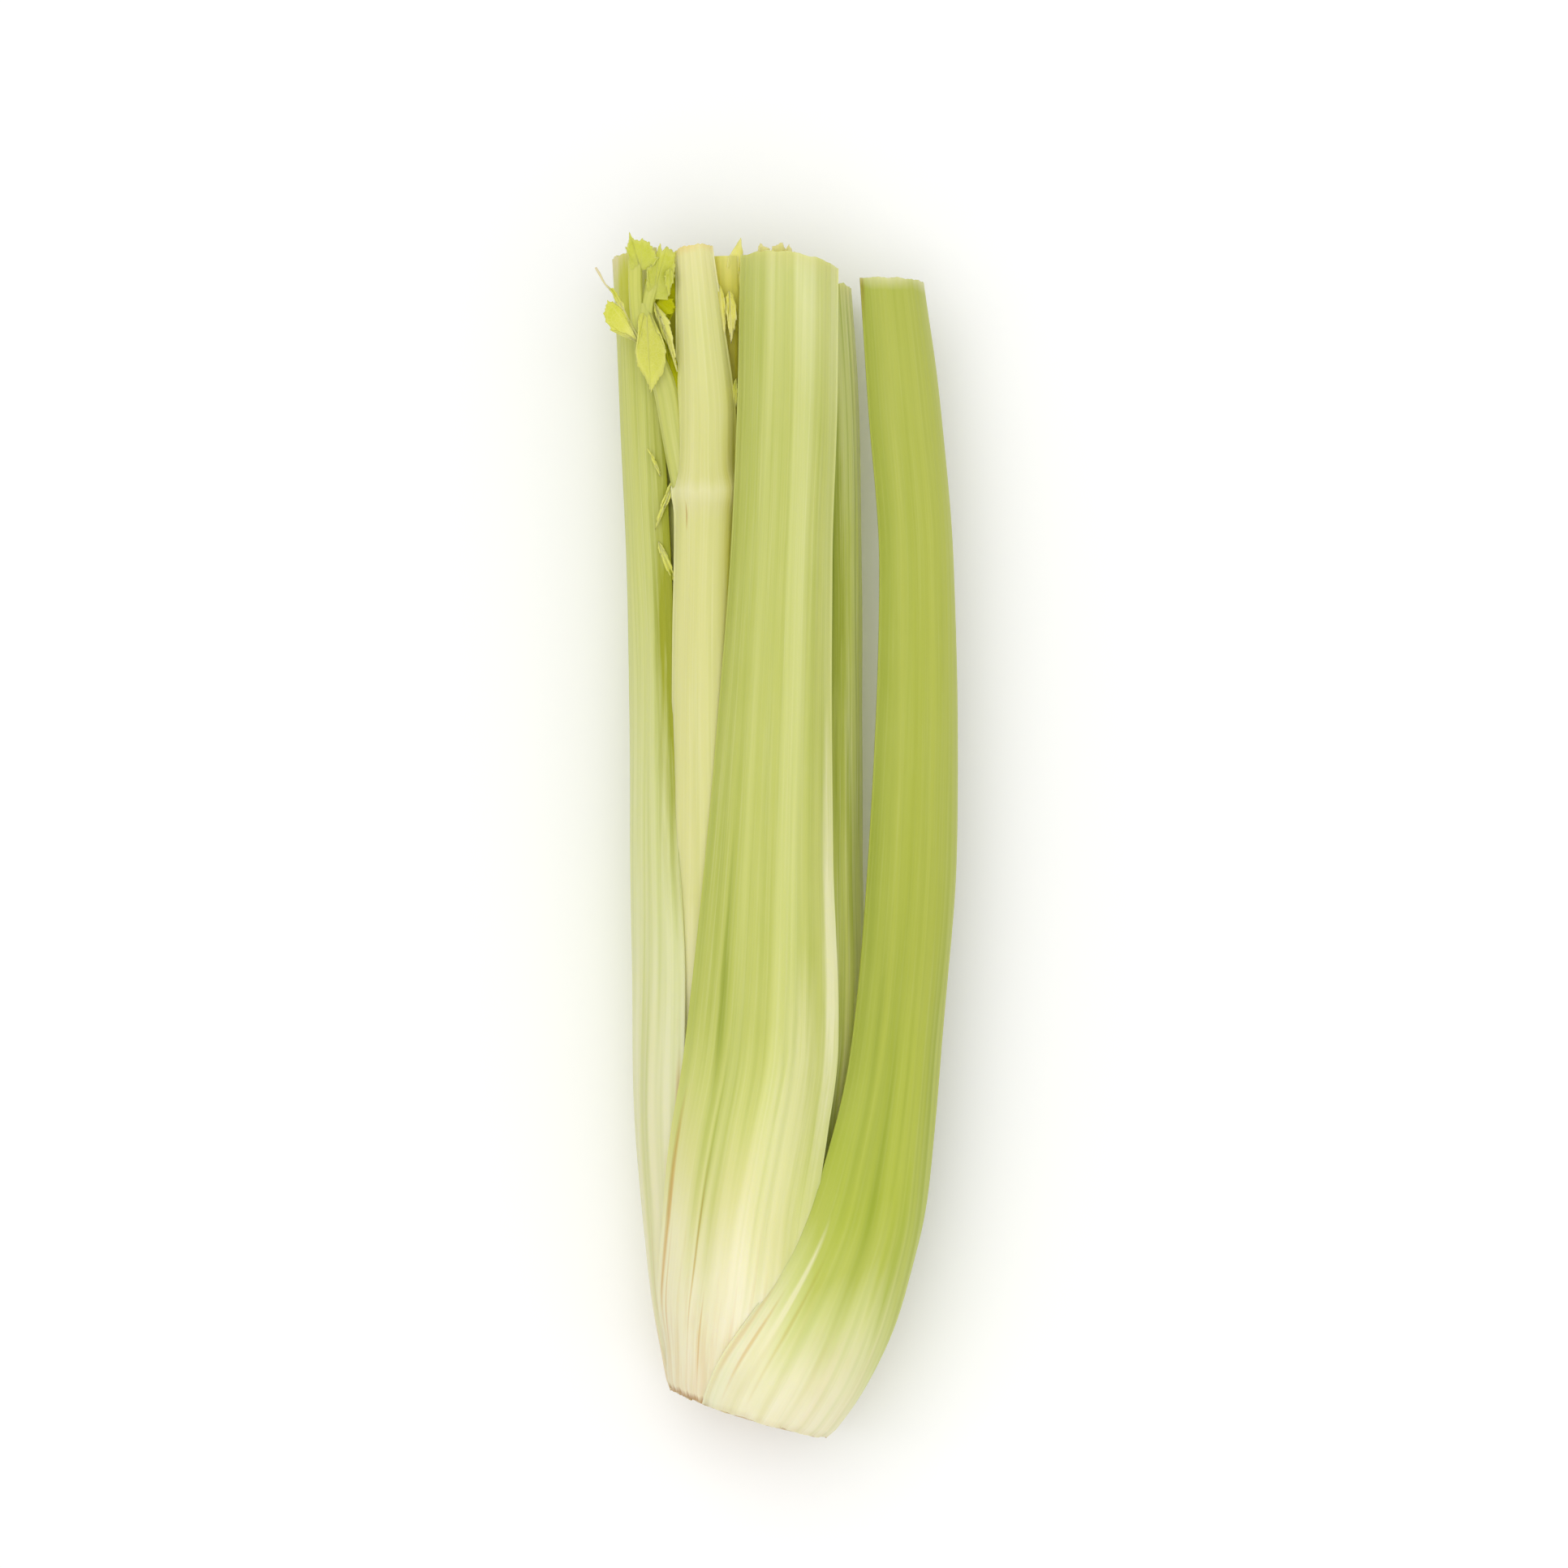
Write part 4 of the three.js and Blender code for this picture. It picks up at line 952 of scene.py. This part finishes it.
def leafFinish(name, look):
    finish, add = newFinish(name)
    place = add("TexCoord", out="Object")
    vein = add("Attribute", out="Fac", attribute_name="vein")
    out = add("Attribute", out="Fac", attribute_name="out")
    far = add("Attribute", out="Fac", attribute_name="far")
    body = add("ValToRGB", [far], stops=[(0.1, look["stem"]), (0.5, look["blade"]), (0.95, look["tip"])])
    # cloudy green patches 3 mm across, and a net of fine veins 1.1 mm apart
    cloud = add("TexNoise", {"Vector": place, "Scale": 330.0, "Detail": 3.0})
    net = add("TexVoronoi", {"Vector": place, "Scale": 900.0}, feature="DISTANCE_TO_EDGE")
    net = add("MapRange", [net, 0.1, 0.0, 0.0, 0.35])
    veins = add("Math", [vein, 0.8], operation="MULTIPLY")
    lines = add("Math", [net, veins], operation="MAXIMUM")
    layers = (
        (cloud, 0.4, 0.7, 0.4, look["cloud"]),
        (lines, 0.0, 1.0, 1.0, look["vein"]),
        (out, 0.86, 1.0, 0.6, look["margin"]),  # thin and light at the margin
    )
    colour = layColours(add, body, layers)
    bump = add("Bump", {"Height": lines, "Strength": 0.5, "Distance": 0.0001}, invert=True)
    shine = look.get("shine", 0.35)
    endFinish(add, {"Base Color": colour, "Specular IOR Level": shine, "Normal": bump, **leafBody})
    return finish


# lobes are the degrees clockwise from the heading, and the mm from the root, of each lobe's tip;
# heading is in degrees clockwise from +Y; blade is length, half width and pairs of teeth
plainLeaf = {  # what the leaflets share, where one gives no other value
    "arch": 0.6,
    "fold": 6,
    "ripple": 0.35,
    "waves": 3,
    "rise": 5,
    "roll": 0,
    "crumple": 0.12,
    "cut": 0.2,  # how far the notches between the lobes are drawn in
    "toothHeight": 0.4,
    "toothStep": 1.4,
    "pointStep": 0.28,  # mm from point to point along the margin
    "thickness": 0.35,
}


def marginOf(leaf):
    # The toothed margin in the leaf's own plane, as mm across and mm ahead: from lobe to lobe, with a notch
    # between them that lies towards the leaf's tip and is drawn in, and small teeth all the way
    if "blade" in leaf:  # a narrow one: half width w sin(pi (0.1 + 0.88 share)) ^ 0.8 at each pair of teeth
        length, halfWidth, teeth = leaf["blade"]
        share = np.linspace(0.12, 0.9, teeth)
        width = halfWidth * np.sin(math.pi * (0.1 + 0.88 * share)) ** 0.8
        left, right = np.stack([-width, share * length], 1), np.stack([width, share * length], 1)
        tips = np.concatenate([left, [[0, length]], right[::-1]])
    else:
        turn, reach = np.radians([a for a, _ in leaf["lobes"]]), np.array([r for _, r in leaf["lobes"]])
        tips = np.stack([reach * np.sin(turn), reach * np.cos(turn)], axis=1)
    reach = np.hypot(*tips.T)
    apex = len(tips) // 2 if "blade" in leaf else int(np.argmax(reach))
    margin = []
    for k in range(len(tips) - 1):
        gap = tips[k + 1] - tips[k]
        notch = tips[k] + gap * (0.34 if k < apex else 0.66)
        notch = notch * (1 - leaf["cut"] * np.linalg.norm(gap) / max(1e-6, np.linalg.norm(notch)))
        for a, b in ((tips[k], notch), (notch, tips[k + 1])):
            steps = max(3, int(np.linalg.norm(b - a) / leaf["pointStep"]))
            margin.append(a + (b - a) * np.linspace(0, 1, steps, endpoint=False)[:, None])
    margin = np.concatenate([*margin, tips[-1:]])
    way = np.concatenate([[0], np.cumsum(np.linalg.norm(np.diff(margin, axis=0), axis=1))])
    teeth = leaf["toothHeight"] * ((way / leaf["toothStep"]) % 1.0 - 0.5)
    lobes = [k for k in range(1, len(tips) - 1) if reach[k] >= max(reach[k - 1], reach[k + 1])]
    veins = tips[[apex]] if "blade" in leaf else tips[lobes]
    return margin * (1 + teeth / np.maximum(1.0, np.hypot(*margin.T)))[:, None], veins


def leafSheet(leaf, rings=12):
    # out runs from 0.03 near the root to 1 at the margin. Height above the leaf's plane: an arch
    # 4 q (1 - q) along it, a fold that lifts both halves, a ripple that grows as out cubed, sunken veins.
    margin, veins = marginOf(leaf)
    out = np.linspace(0.03, 1, rings)[:, None]
    across, ahead = out * margin[:, 0], out * margin[:, 1]
    q = np.clip(np.hypot(across, ahead) / np.hypot(*margin.T).max(), 0, 1)
    way = np.linspace(0, 1, len(margin))[None, :]
    height = leaf["arch"] * 4 * q * (1 - q) + np.abs(across) * math.tan(math.radians(leaf["fold"]))
    height = height + leaf["ripple"] * out**3 * np.sin(way * leaf["waves"] * 2 * math.pi + leaf["seed"])
    height = height + leaf["crumple"] * wander(across * 0.9, ahead * 0.9, leaf["seed"])
    vein = np.zeros_like(across)
    for tip in veins:
        course = tip / np.linalg.norm(tip)
        off = np.abs(across * course[1] - ahead * course[0])
        along = across * course[0] + ahead * course[1]
        line = np.exp(-((off / (0.3 - 0.18 * out)) ** 2)) * (along > 0) * (1 - 0.5 * out)
        vein = np.maximum(vein, line)
    height = height - 0.12 * vein
    # the leaf's plane: ahead is its heading, rise lifts its tip, and roll turns it about its own length
    heading, rise, roll = (math.radians(leaf[key]) for key in ("heading", "rise", "roll"))
    flat = math.cos(rise)
    forward = np.array([math.sin(heading) * flat, math.cos(heading) * flat, math.sin(rise)])
    right = np.array([math.cos(heading), -math.sin(heading), 0.0])
    face = np.cross(right, forward)
    level, tilt = math.cos(roll), math.sin(roll)
    right, face = right * level - face * tilt, face * level + right * tilt
    points = np.array(leaf["root"]) + across[..., None] * right + ahead[..., None] * forward
    points = (points + height[..., None] * face).reshape(-1, 3)
    layers = {"vein": vein.ravel(), "out": np.broadcast_to(out, across.shape).ravel(), "far": q.ravel()}
    return points, gridFaces(rings, len(margin), closed=False), layers


def makeLeaves(group):
    sheets = [leafSheet(dict(plainLeaf, **leaf)) for leaf in group["leaves"]]
    starts = np.cumsum([0] + [len(points) for points, _, _ in sheets])
    points = np.concatenate([points for points, _, _ in sheets])
    quads = np.concatenate([quads + start for (_, quads, _), start in zip(sheets, starts)])
    layers = {key: np.concatenate([at[key] for _, _, at in sheets]) for key in ("vein", "out", "far")}
    finish = leafFinish(group["finish"], group["look"])
    piece = meshPiece(group["piece"], points, [quads], [finish], layers=layers)
    thick = piece.modifiers.new("thickness", "SOLIDIFY")
    thick.thickness, thick.offset = plainLeaf["thickness"] * millimetre, 0
    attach(piece, "root")
    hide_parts(group["node"])
    print("made", group["piece"], len(points), "points")


upperLeaves = dict(
    piece="leafy_stem_upper_leaflets", node="stalk_inner_left", slot="inner_stalk",
    finish="youngCeleryLeaf",
    look=dict(stem="#c6c95a", blade="#c2c64a", tip="#c8ca4e", margin="#d2d37a", cloud="#b7bd38",
              vein="#cbce6c"),
    leaves=[
        dict(root=(-46.2, 175.2, 49.2), heading=0, rise=7, fold=1, ripple=0.4, seed=3,
             lobes=[(-86, 3.4), (-60, 4.0), (-41, 5.0), (-36, 6.5), (-34, 7.7), (-22, 9.0), (-17, 11.3),
                    (-12, 8.8), (3, 8.9), (16, 8.4), (25, 7.4), (37, 6.6), (55, 6.2), (66, 4.4),
                    (85, 2.8)]),
        dict(root=(-42.7, 167.1, 48.8), heading=0, rise=4, roll=9, fold=2, ripple=0.5, seed=5,
             lobes=[(-63, 2.3), (-25, 5.0), (-13, 8.8), (1, 11.7), (7, 15.7), (10, 13.8), (14, 15.3),
                    (19, 14.9), (26, 14.7), (33, 11.5), (42, 8.9), (72, 5.0), (94, 4.1)]),
        # the small light one that hangs from them
        dict(root=(-37.9, 175.7, 50.6), heading=186, rise=-2, fold=20, seed=24,
             lobes=[(-35, 2.1), (-17, 4.2), (-3, 7.9), (9, 5.2), (30, 2.8), (53, 1.3)]),
    ],
)
makeLeaves(upperLeaves)

# painted shade: dark, saturated olive leaflets with no sheen, put in the shaded gaps round the leafy stem
# to stand for their shade
paintedShadeLeaves = dict(
    piece="leafy_stem_painted_shade_leaflets", node="stalk_inner_left", slot="inner_stalk",
    finish="paintedShadeCeleryLeaf",
    look=dict(stem="#b3b414", blade="#b6b812", tip="#b8ba16", margin="#bcbd28", cloud="#a3a60c",
              vein="#bcbe34", shine=0.0),
    leaves=[
        # a dark one behind the right twig, whose dark olive is painted shade under the upper leaflets
        dict(root=(-41.6, 166.6, 47.2), heading=120, rise=0, seed=9,
             lobes=[(-60, 2.6), (-36, 4.6), (-12, 5.4), (10, 5.6), (32, 5), (58, 2.8)]),
        # one that fills the fork behind the upper leaflets, dark olive as painted shade over the floor
        # there
        dict(root=(-40, 158, 43.8), heading=2, rise=4, cut=0.05, seed=10,
             lobes=[(-26, 9), (-22, 15), (-13, 20), (-4, 21.5), (6, 21), (14, 19.5), (19, 15), (26, 9)]),
        # a long one deep between the stem and the pale stalk, whose dark olive is painted shade in that gap
        dict(root=(-39.8, 160, 44.4), heading=171, blade=(28, 2.2, 9), rise=0, roll=10, seed=11),
    ],
)
makeLeaves(paintedShadeLeaves)

sideLeaves = dict(
    piece="leafy_stem_side_leaflets", node="stalk_inner_left", slot="inner_stalk",
    finish="brightCeleryLeaf",
    look=dict(stem="#e2df84", blade="#d4d35c", tip="#c2c632", margin="#dcda70", cloud="#c4c73e",
              vein="#dddb80"),
    leaves=[
        # the fan on the left
        dict(root=(-46.6, 154.6, 48), heading=-52, rise=9, fold=8, seed=12,
             lobes=[(5, 2.6), (-3, 5.1), (-10, 7.6), (-13, 9.2), (-8, 9.7), (-5, 11.7), (2, 13.6),
                    (10, 14.4), (15, 15.2), (19, 14), (22, 12.5), (24, 10.9), (25, 8.5), (26, 5.1),
                    (39, 1.5)]),
        # the strip above it, on the dried thread
        dict(root=(-50.6, 163.4, 50), heading=-35, roll=16, seed=14,
             lobes=[(-20, 2.2), (-5, 5.2), (1, 9.2), (6, 7.6), (10, 5.1), (21, 2.4)]),
        # what is left of one beside the yellow stub, and a scrap below the fan
        dict(root=(-19.8, 136.4, 45), heading=2, blade=(8.6, 0.8, 4), roll=-14, seed=44),
        dict(root=(-46.4, 155.6, 48.2), heading=186, blade=(6.8, 0.7, 3), roll=-16, seed=18),
    ],
)
makeLeaves(sideLeaves)

hangingLeaves = dict(
    piece="leafy_stem_hanging_leaflets", node="stalk_inner_left", slot="inner_stalk",
    finish="hangingCeleryLeaf",
    look=dict(stem="#cdce58", blade="#cfcf5a", tip="#cccd58", margin="#dedc80", cloud="#bebf40",
              vein="#d8d77c"),
    leaves=[
        # the leaf that hangs down over the stem
        dict(root=(-44.7, 165.6, 48.6), heading=180, rise=2, arch=0.9, fold=5, ripple=0.6, cut=0.12,
             seed=17,
             lobes=[(-60, 1.8), (-28, 3.8), (-23, 6.7), (-20, 8.6), (-25, 10.2), (-24, 12.4), (-23, 14.4),
                    (-18, 17.6), (-13.5, 20.3), (-7, 22.8), (-3, 24.9), (-1, 22), (2.6, 19.8), (8, 17.6),
                    (12, 14.2), (13.6, 10.2), (23, 6.2), (74, 2.2)]),
        # seen nearly edge on, from the foot of the upper leaflets
        dict(root=(-42.4, 166.2, 48.9), heading=161, roll=12, rise=-3, fold=6, seed=21,
             lobes=[(-22, 2.2), (-9, 5), (-2, 9.6), (1, 13.2), (4, 10.4), (7, 6.2), (18, 2.4)]),
    ],
)
makeLeaves(hangingLeaves)

paleLeaves = dict(
    piece="leafy_stem_pale_leaflet", node="stalk_inner_left", slot="inner_stalk",
    finish="paleCeleryLeaf",
    look=dict(stem="#d4d468", blade="#dcd96c", tip="#dedb72", margin="#e8e48e", cloud="#ccca54",
              vein="#e2df8c"),
    leaves=[
        dict(root=(-42.2, 165.8, 49.1), heading=162, roll=8, rise=-2, fold=6, seed=22,
             lobes=[(-25, 4.5), (-21, 6.9), (-10, 11.2), (-4, 15.6), (0, 20), (-1.5, 16.4), (-2.6, 13.3),
                    (-4, 10.1), (-5.7, 6.9), (-6.4, 3.1)]),
    ],
)
makeLeaves(paleLeaves)

gapLeaves = dict(
    piece="heart_stalk_left_leaflets", node="heart_stalk_left", slot="heart_stalk",
    finish="gapCeleryLeaf",
    look=dict(stem="#dcdb80", blade="#d8d85e", tip="#dcdb62", margin="#e2e078", cloud="#c6ca44",
              vein="#e6e596"),
    leaves=[
        dict(root=(-36.1, 118.4, 42), heading=201, rise=1, seed=31,
             lobes=[(-13, 3.9), (-4, 8.9), (-1, 13.5), (0, 17.2), (3, 14.1), (6, 10), (11, 5.4), (17, 2)]),
        dict(root=(-40.8, 117.6, 42.4), heading=-25, blade=(8.6, 0.4, 4), roll=20, rise=5, seed=32),
        dict(root=(-41.4, 99.2, 41.6), heading=157, blade=(13.1, 1.0, 4), roll=10, rise=-3, seed=33),
        dict(root=(-35.3, 94, 41), heading=194, blade=(7.1, 1.0, 3), roll=-12, seed=34),
        dict(root=(-37.4, 88, 40.2), heading=168, blade=(8.0, 0.7, 3), roll=16, seed=35),
    ],
)
makeLeaves(gapLeaves)

stubLeaves = dict(
    piece="yellow_stub_leaflets", node="stalk_inner_left", slot="inner_stalk",
    finish="yellowCeleryLeaf",
    look=dict(stem="#d8d258", blade="#e0da66", tip="#e8e18a", margin="#ece69c", cloud="#d6cf52",
              vein="#e6dfa0"),
    leaves=[
        # the sheath's pointed tip, at the right of the cut stub
        dict(root=(-20.2, 168, 42.6), heading=0, rise=3, fold=2, cut=0.05, toothHeight=0.1, seed=41,
             lobes=[(-34, 5), (-8, 11.3), (0, 13.6), (7, 16.8), (11, 13.4), (14, 10.6), (30, 5)]),
        # what is left of a leaflet lower on it, and a strip of one along the pale stalk
        dict(root=(-21.4, 169.6, 47), heading=178, rise=-3, roll=-8, seed=42,
             lobes=[(-42, 1.9), (-20, 5), (-12, 8.4), (-6, 11), (0, 14.8), (4, 10.4), (10, 6.4),
                    (28, 2.3)]),
        dict(root=(-24.4, 171.6, 46.8), heading=175, blade=(15.5, 1.3, 6), rise=-3, roll=-12, seed=43),
    ],
)
makeLeaves(stubLeaves)

heartTips = dict(
    piece="heart_stalk_front_leaflets", node="heart_stalk_front", slot="heart_stalk",
    finish="heartTipCeleryLeaf",
    look=dict(stem="#d8d37c", blade="#dcd786", tip="#e2dc98", margin="#e4d9a0", cloud="#d0ca6c",
              vein="#e4dfa0"),
    leaves=[
        dict(root=(-9.6, 172.0, 42.6), heading=-16, rise=18, seed=51,
             lobes=[(-30, 6.6), (-12, 10.2), (0, 11.9), (10, 10.6), (26, 8.0)]),
        dict(root=(-8.0, 172.6, 43.0), heading=4, rise=18, seed=52,
             lobes=[(-26, 7.0), (-10, 10.4), (4, 11.4), (22, 8.4)]),
        dict(root=(-7.2, 172.0, 42.8), heading=18, rise=18, seed=53,
             lobes=[(-24, 7.4), (-4, 11.4), (10, 10.2), (26, 7.4)]),
    ],
)
makeLeaves(heartTips)

# the small leaves at the back are alike: a broad one that stands up and a lower one rolled to the side
broadLobes = [(-40, 5.4), (-24, 9.2), (-8, 11.6), (2, 14.2), (14, 11.0), (30, 8.6), (44, 5.0)]
backTips = dict(
    piece="heart_stalk_back_leaflets", node="heart_stalk_back", slot="heart_stalk",
    finish="backTipCeleryLeaf",
    look=dict(stem="#dcd98a", blade="#d2d070", tip="#d4d272", margin="#d8d67c", cloud="#c6c65c",
              vein="#e6e3a8"),
    leaves=[
        dict(root=(-8.4, 157.6, 28.8), heading=-6, rise=12, seed=61, lobes=broadLobes),
        dict(root=(-7.4, 157.0, 27.6), heading=22, rise=5, roll=30, seed=62,
             lobes=[(-36, 4.6), (-14, 9.6), (2, 11.8), (18, 9.0), (38, 5.6)]),
    ],
)
makeLeaves(backTips)

outerTips = dict(
    piece="heart_stalk_outer_leaflets", node="heart_stalk_outer", slot="heart_stalk",
    finish="outerTipCeleryLeaf",
    look=backTips["look"],
    leaves=[
        dict(root=(-29.6, 162.6, 28.0), heading=-4, rise=12, seed=71, lobes=broadLobes),
        dict(root=(-30, 162.0, 27.2), heading=-20, rise=3, roll=-30, seed=72,
             lobes=[(-36, 4.6), (-14, 9.6), (2, 11.4), (18, 9.0), (38, 5.6)]),
    ],
)
makeLeaves(outerTips)

# a thin dry thread that is left of a leaflet
driedThread = dict(
    piece="dried_leaf_thread", rind="driedCeleryThread", height=310, steps=40, dome=0.0, endFinish=0,
    points=[
        (-46.6, 155.9, 48.4, 0.4, 0.35), (-49.4, 160.6, 49.6, 0.3, 0.3), (-51.7, 165.2, 50.5, 0.3, 0.25),
        (-54.2, 168.8, 50.9, 0.22, 0.2), (-56.3, 171.3, 51.1, 0.25, 0.2), (-57.9, 174.2, 51.2, 0.35, 0.25),
        (-58.9, 175.8, 51.3, 0.3, 0.2),
    ],
)
threadLook = dict(stemLook, upwards=[(0, "#d6d67a"), (310, "#d6d67a"), (322, "#dcd294"), (336, "#dcc8ac")])
makeStem(driedThread, threadLook, around=12)

# floor, light and camera
studio = {
    "floorSize": 3.0,  # m
    "floorDrop": 0.0003,  # m below the lowest point
    "floor": "#fdfdfc",
    "sky": 0.62,
    "keyPower": 20,
    "keyPlace": (-0.4, 0.3, 2.0),
    "fillPower": 6,
    "fillPlace": (0.9, -0.5, 1.5),
    "lampSize": 2.0,
}
view = {  # straight down; the middle of the picture and its width on the plane half way up the head
    "middle": (-0.00598, 0.03082, 0.030),
    "distance": 2.2,
    "width": 0.44436,
    "sensor": 36,  # mm
}
scene = bpy.context.scene
scene.view_settings.view_transform = "Standard"

paper, add = newFinish("mattBackdropPaper")  # matt paper: even, with no sheen
endFinish(add, {"Base Color": linearColour(studio["floor"]), "Roughness": 0.9})
half = studio["floorSize"] / 2 / millimetre
corners = np.array([[-half, -half], [half, -half], [half, half], [-half, half]])
floorPoints = np.column_stack([corners, np.full(4, -studio["floorDrop"] / millimetre)])
floor = meshPiece("floor", floorPoints, [np.array([[0, 1, 2, 3]])], [paper])

world = bpy.data.worlds.new("studioSky")
world.use_nodes = True
sky = world.node_tree.nodes["Background"].inputs
sky["Color"].default_value = (1, 1, 1, 1)
sky["Strength"].default_value = studio["sky"]
scene.world = world


def softLight(name, power, place):
    # A square lamp that looks at the middle of the floor
    lamp = bpy.data.lights.new(name, "AREA")
    lamp.energy, lamp.size = power, studio["lampSize"]
    made = bpy.data.objects.new(name, lamp)
    made.location = place
    x, y, z = -np.array(place)
    made.rotation_euler = (math.atan2(math.hypot(x, y), -z), 0, math.atan2(y, x) - math.pi / 2)
    scene.collection.objects.link(made)


softLight("keyLight", studio["keyPower"], studio["keyPlace"])
softLight("fillLight", studio["fillPower"], studio["fillPlace"])

camera = bpy.data.objects.new("camera", bpy.data.cameras.new("camera"))
camera.data.sensor_width = view["sensor"]
camera.data.lens = view["sensor"] * view["distance"] / view["width"]
camera.data.clip_end = 10
camera.location = (view["middle"][0], view["middle"][1], view["middle"][2] + view["distance"])
scene.collection.objects.link(camera)
scene.camera = camera
print("made floor, light and camera")
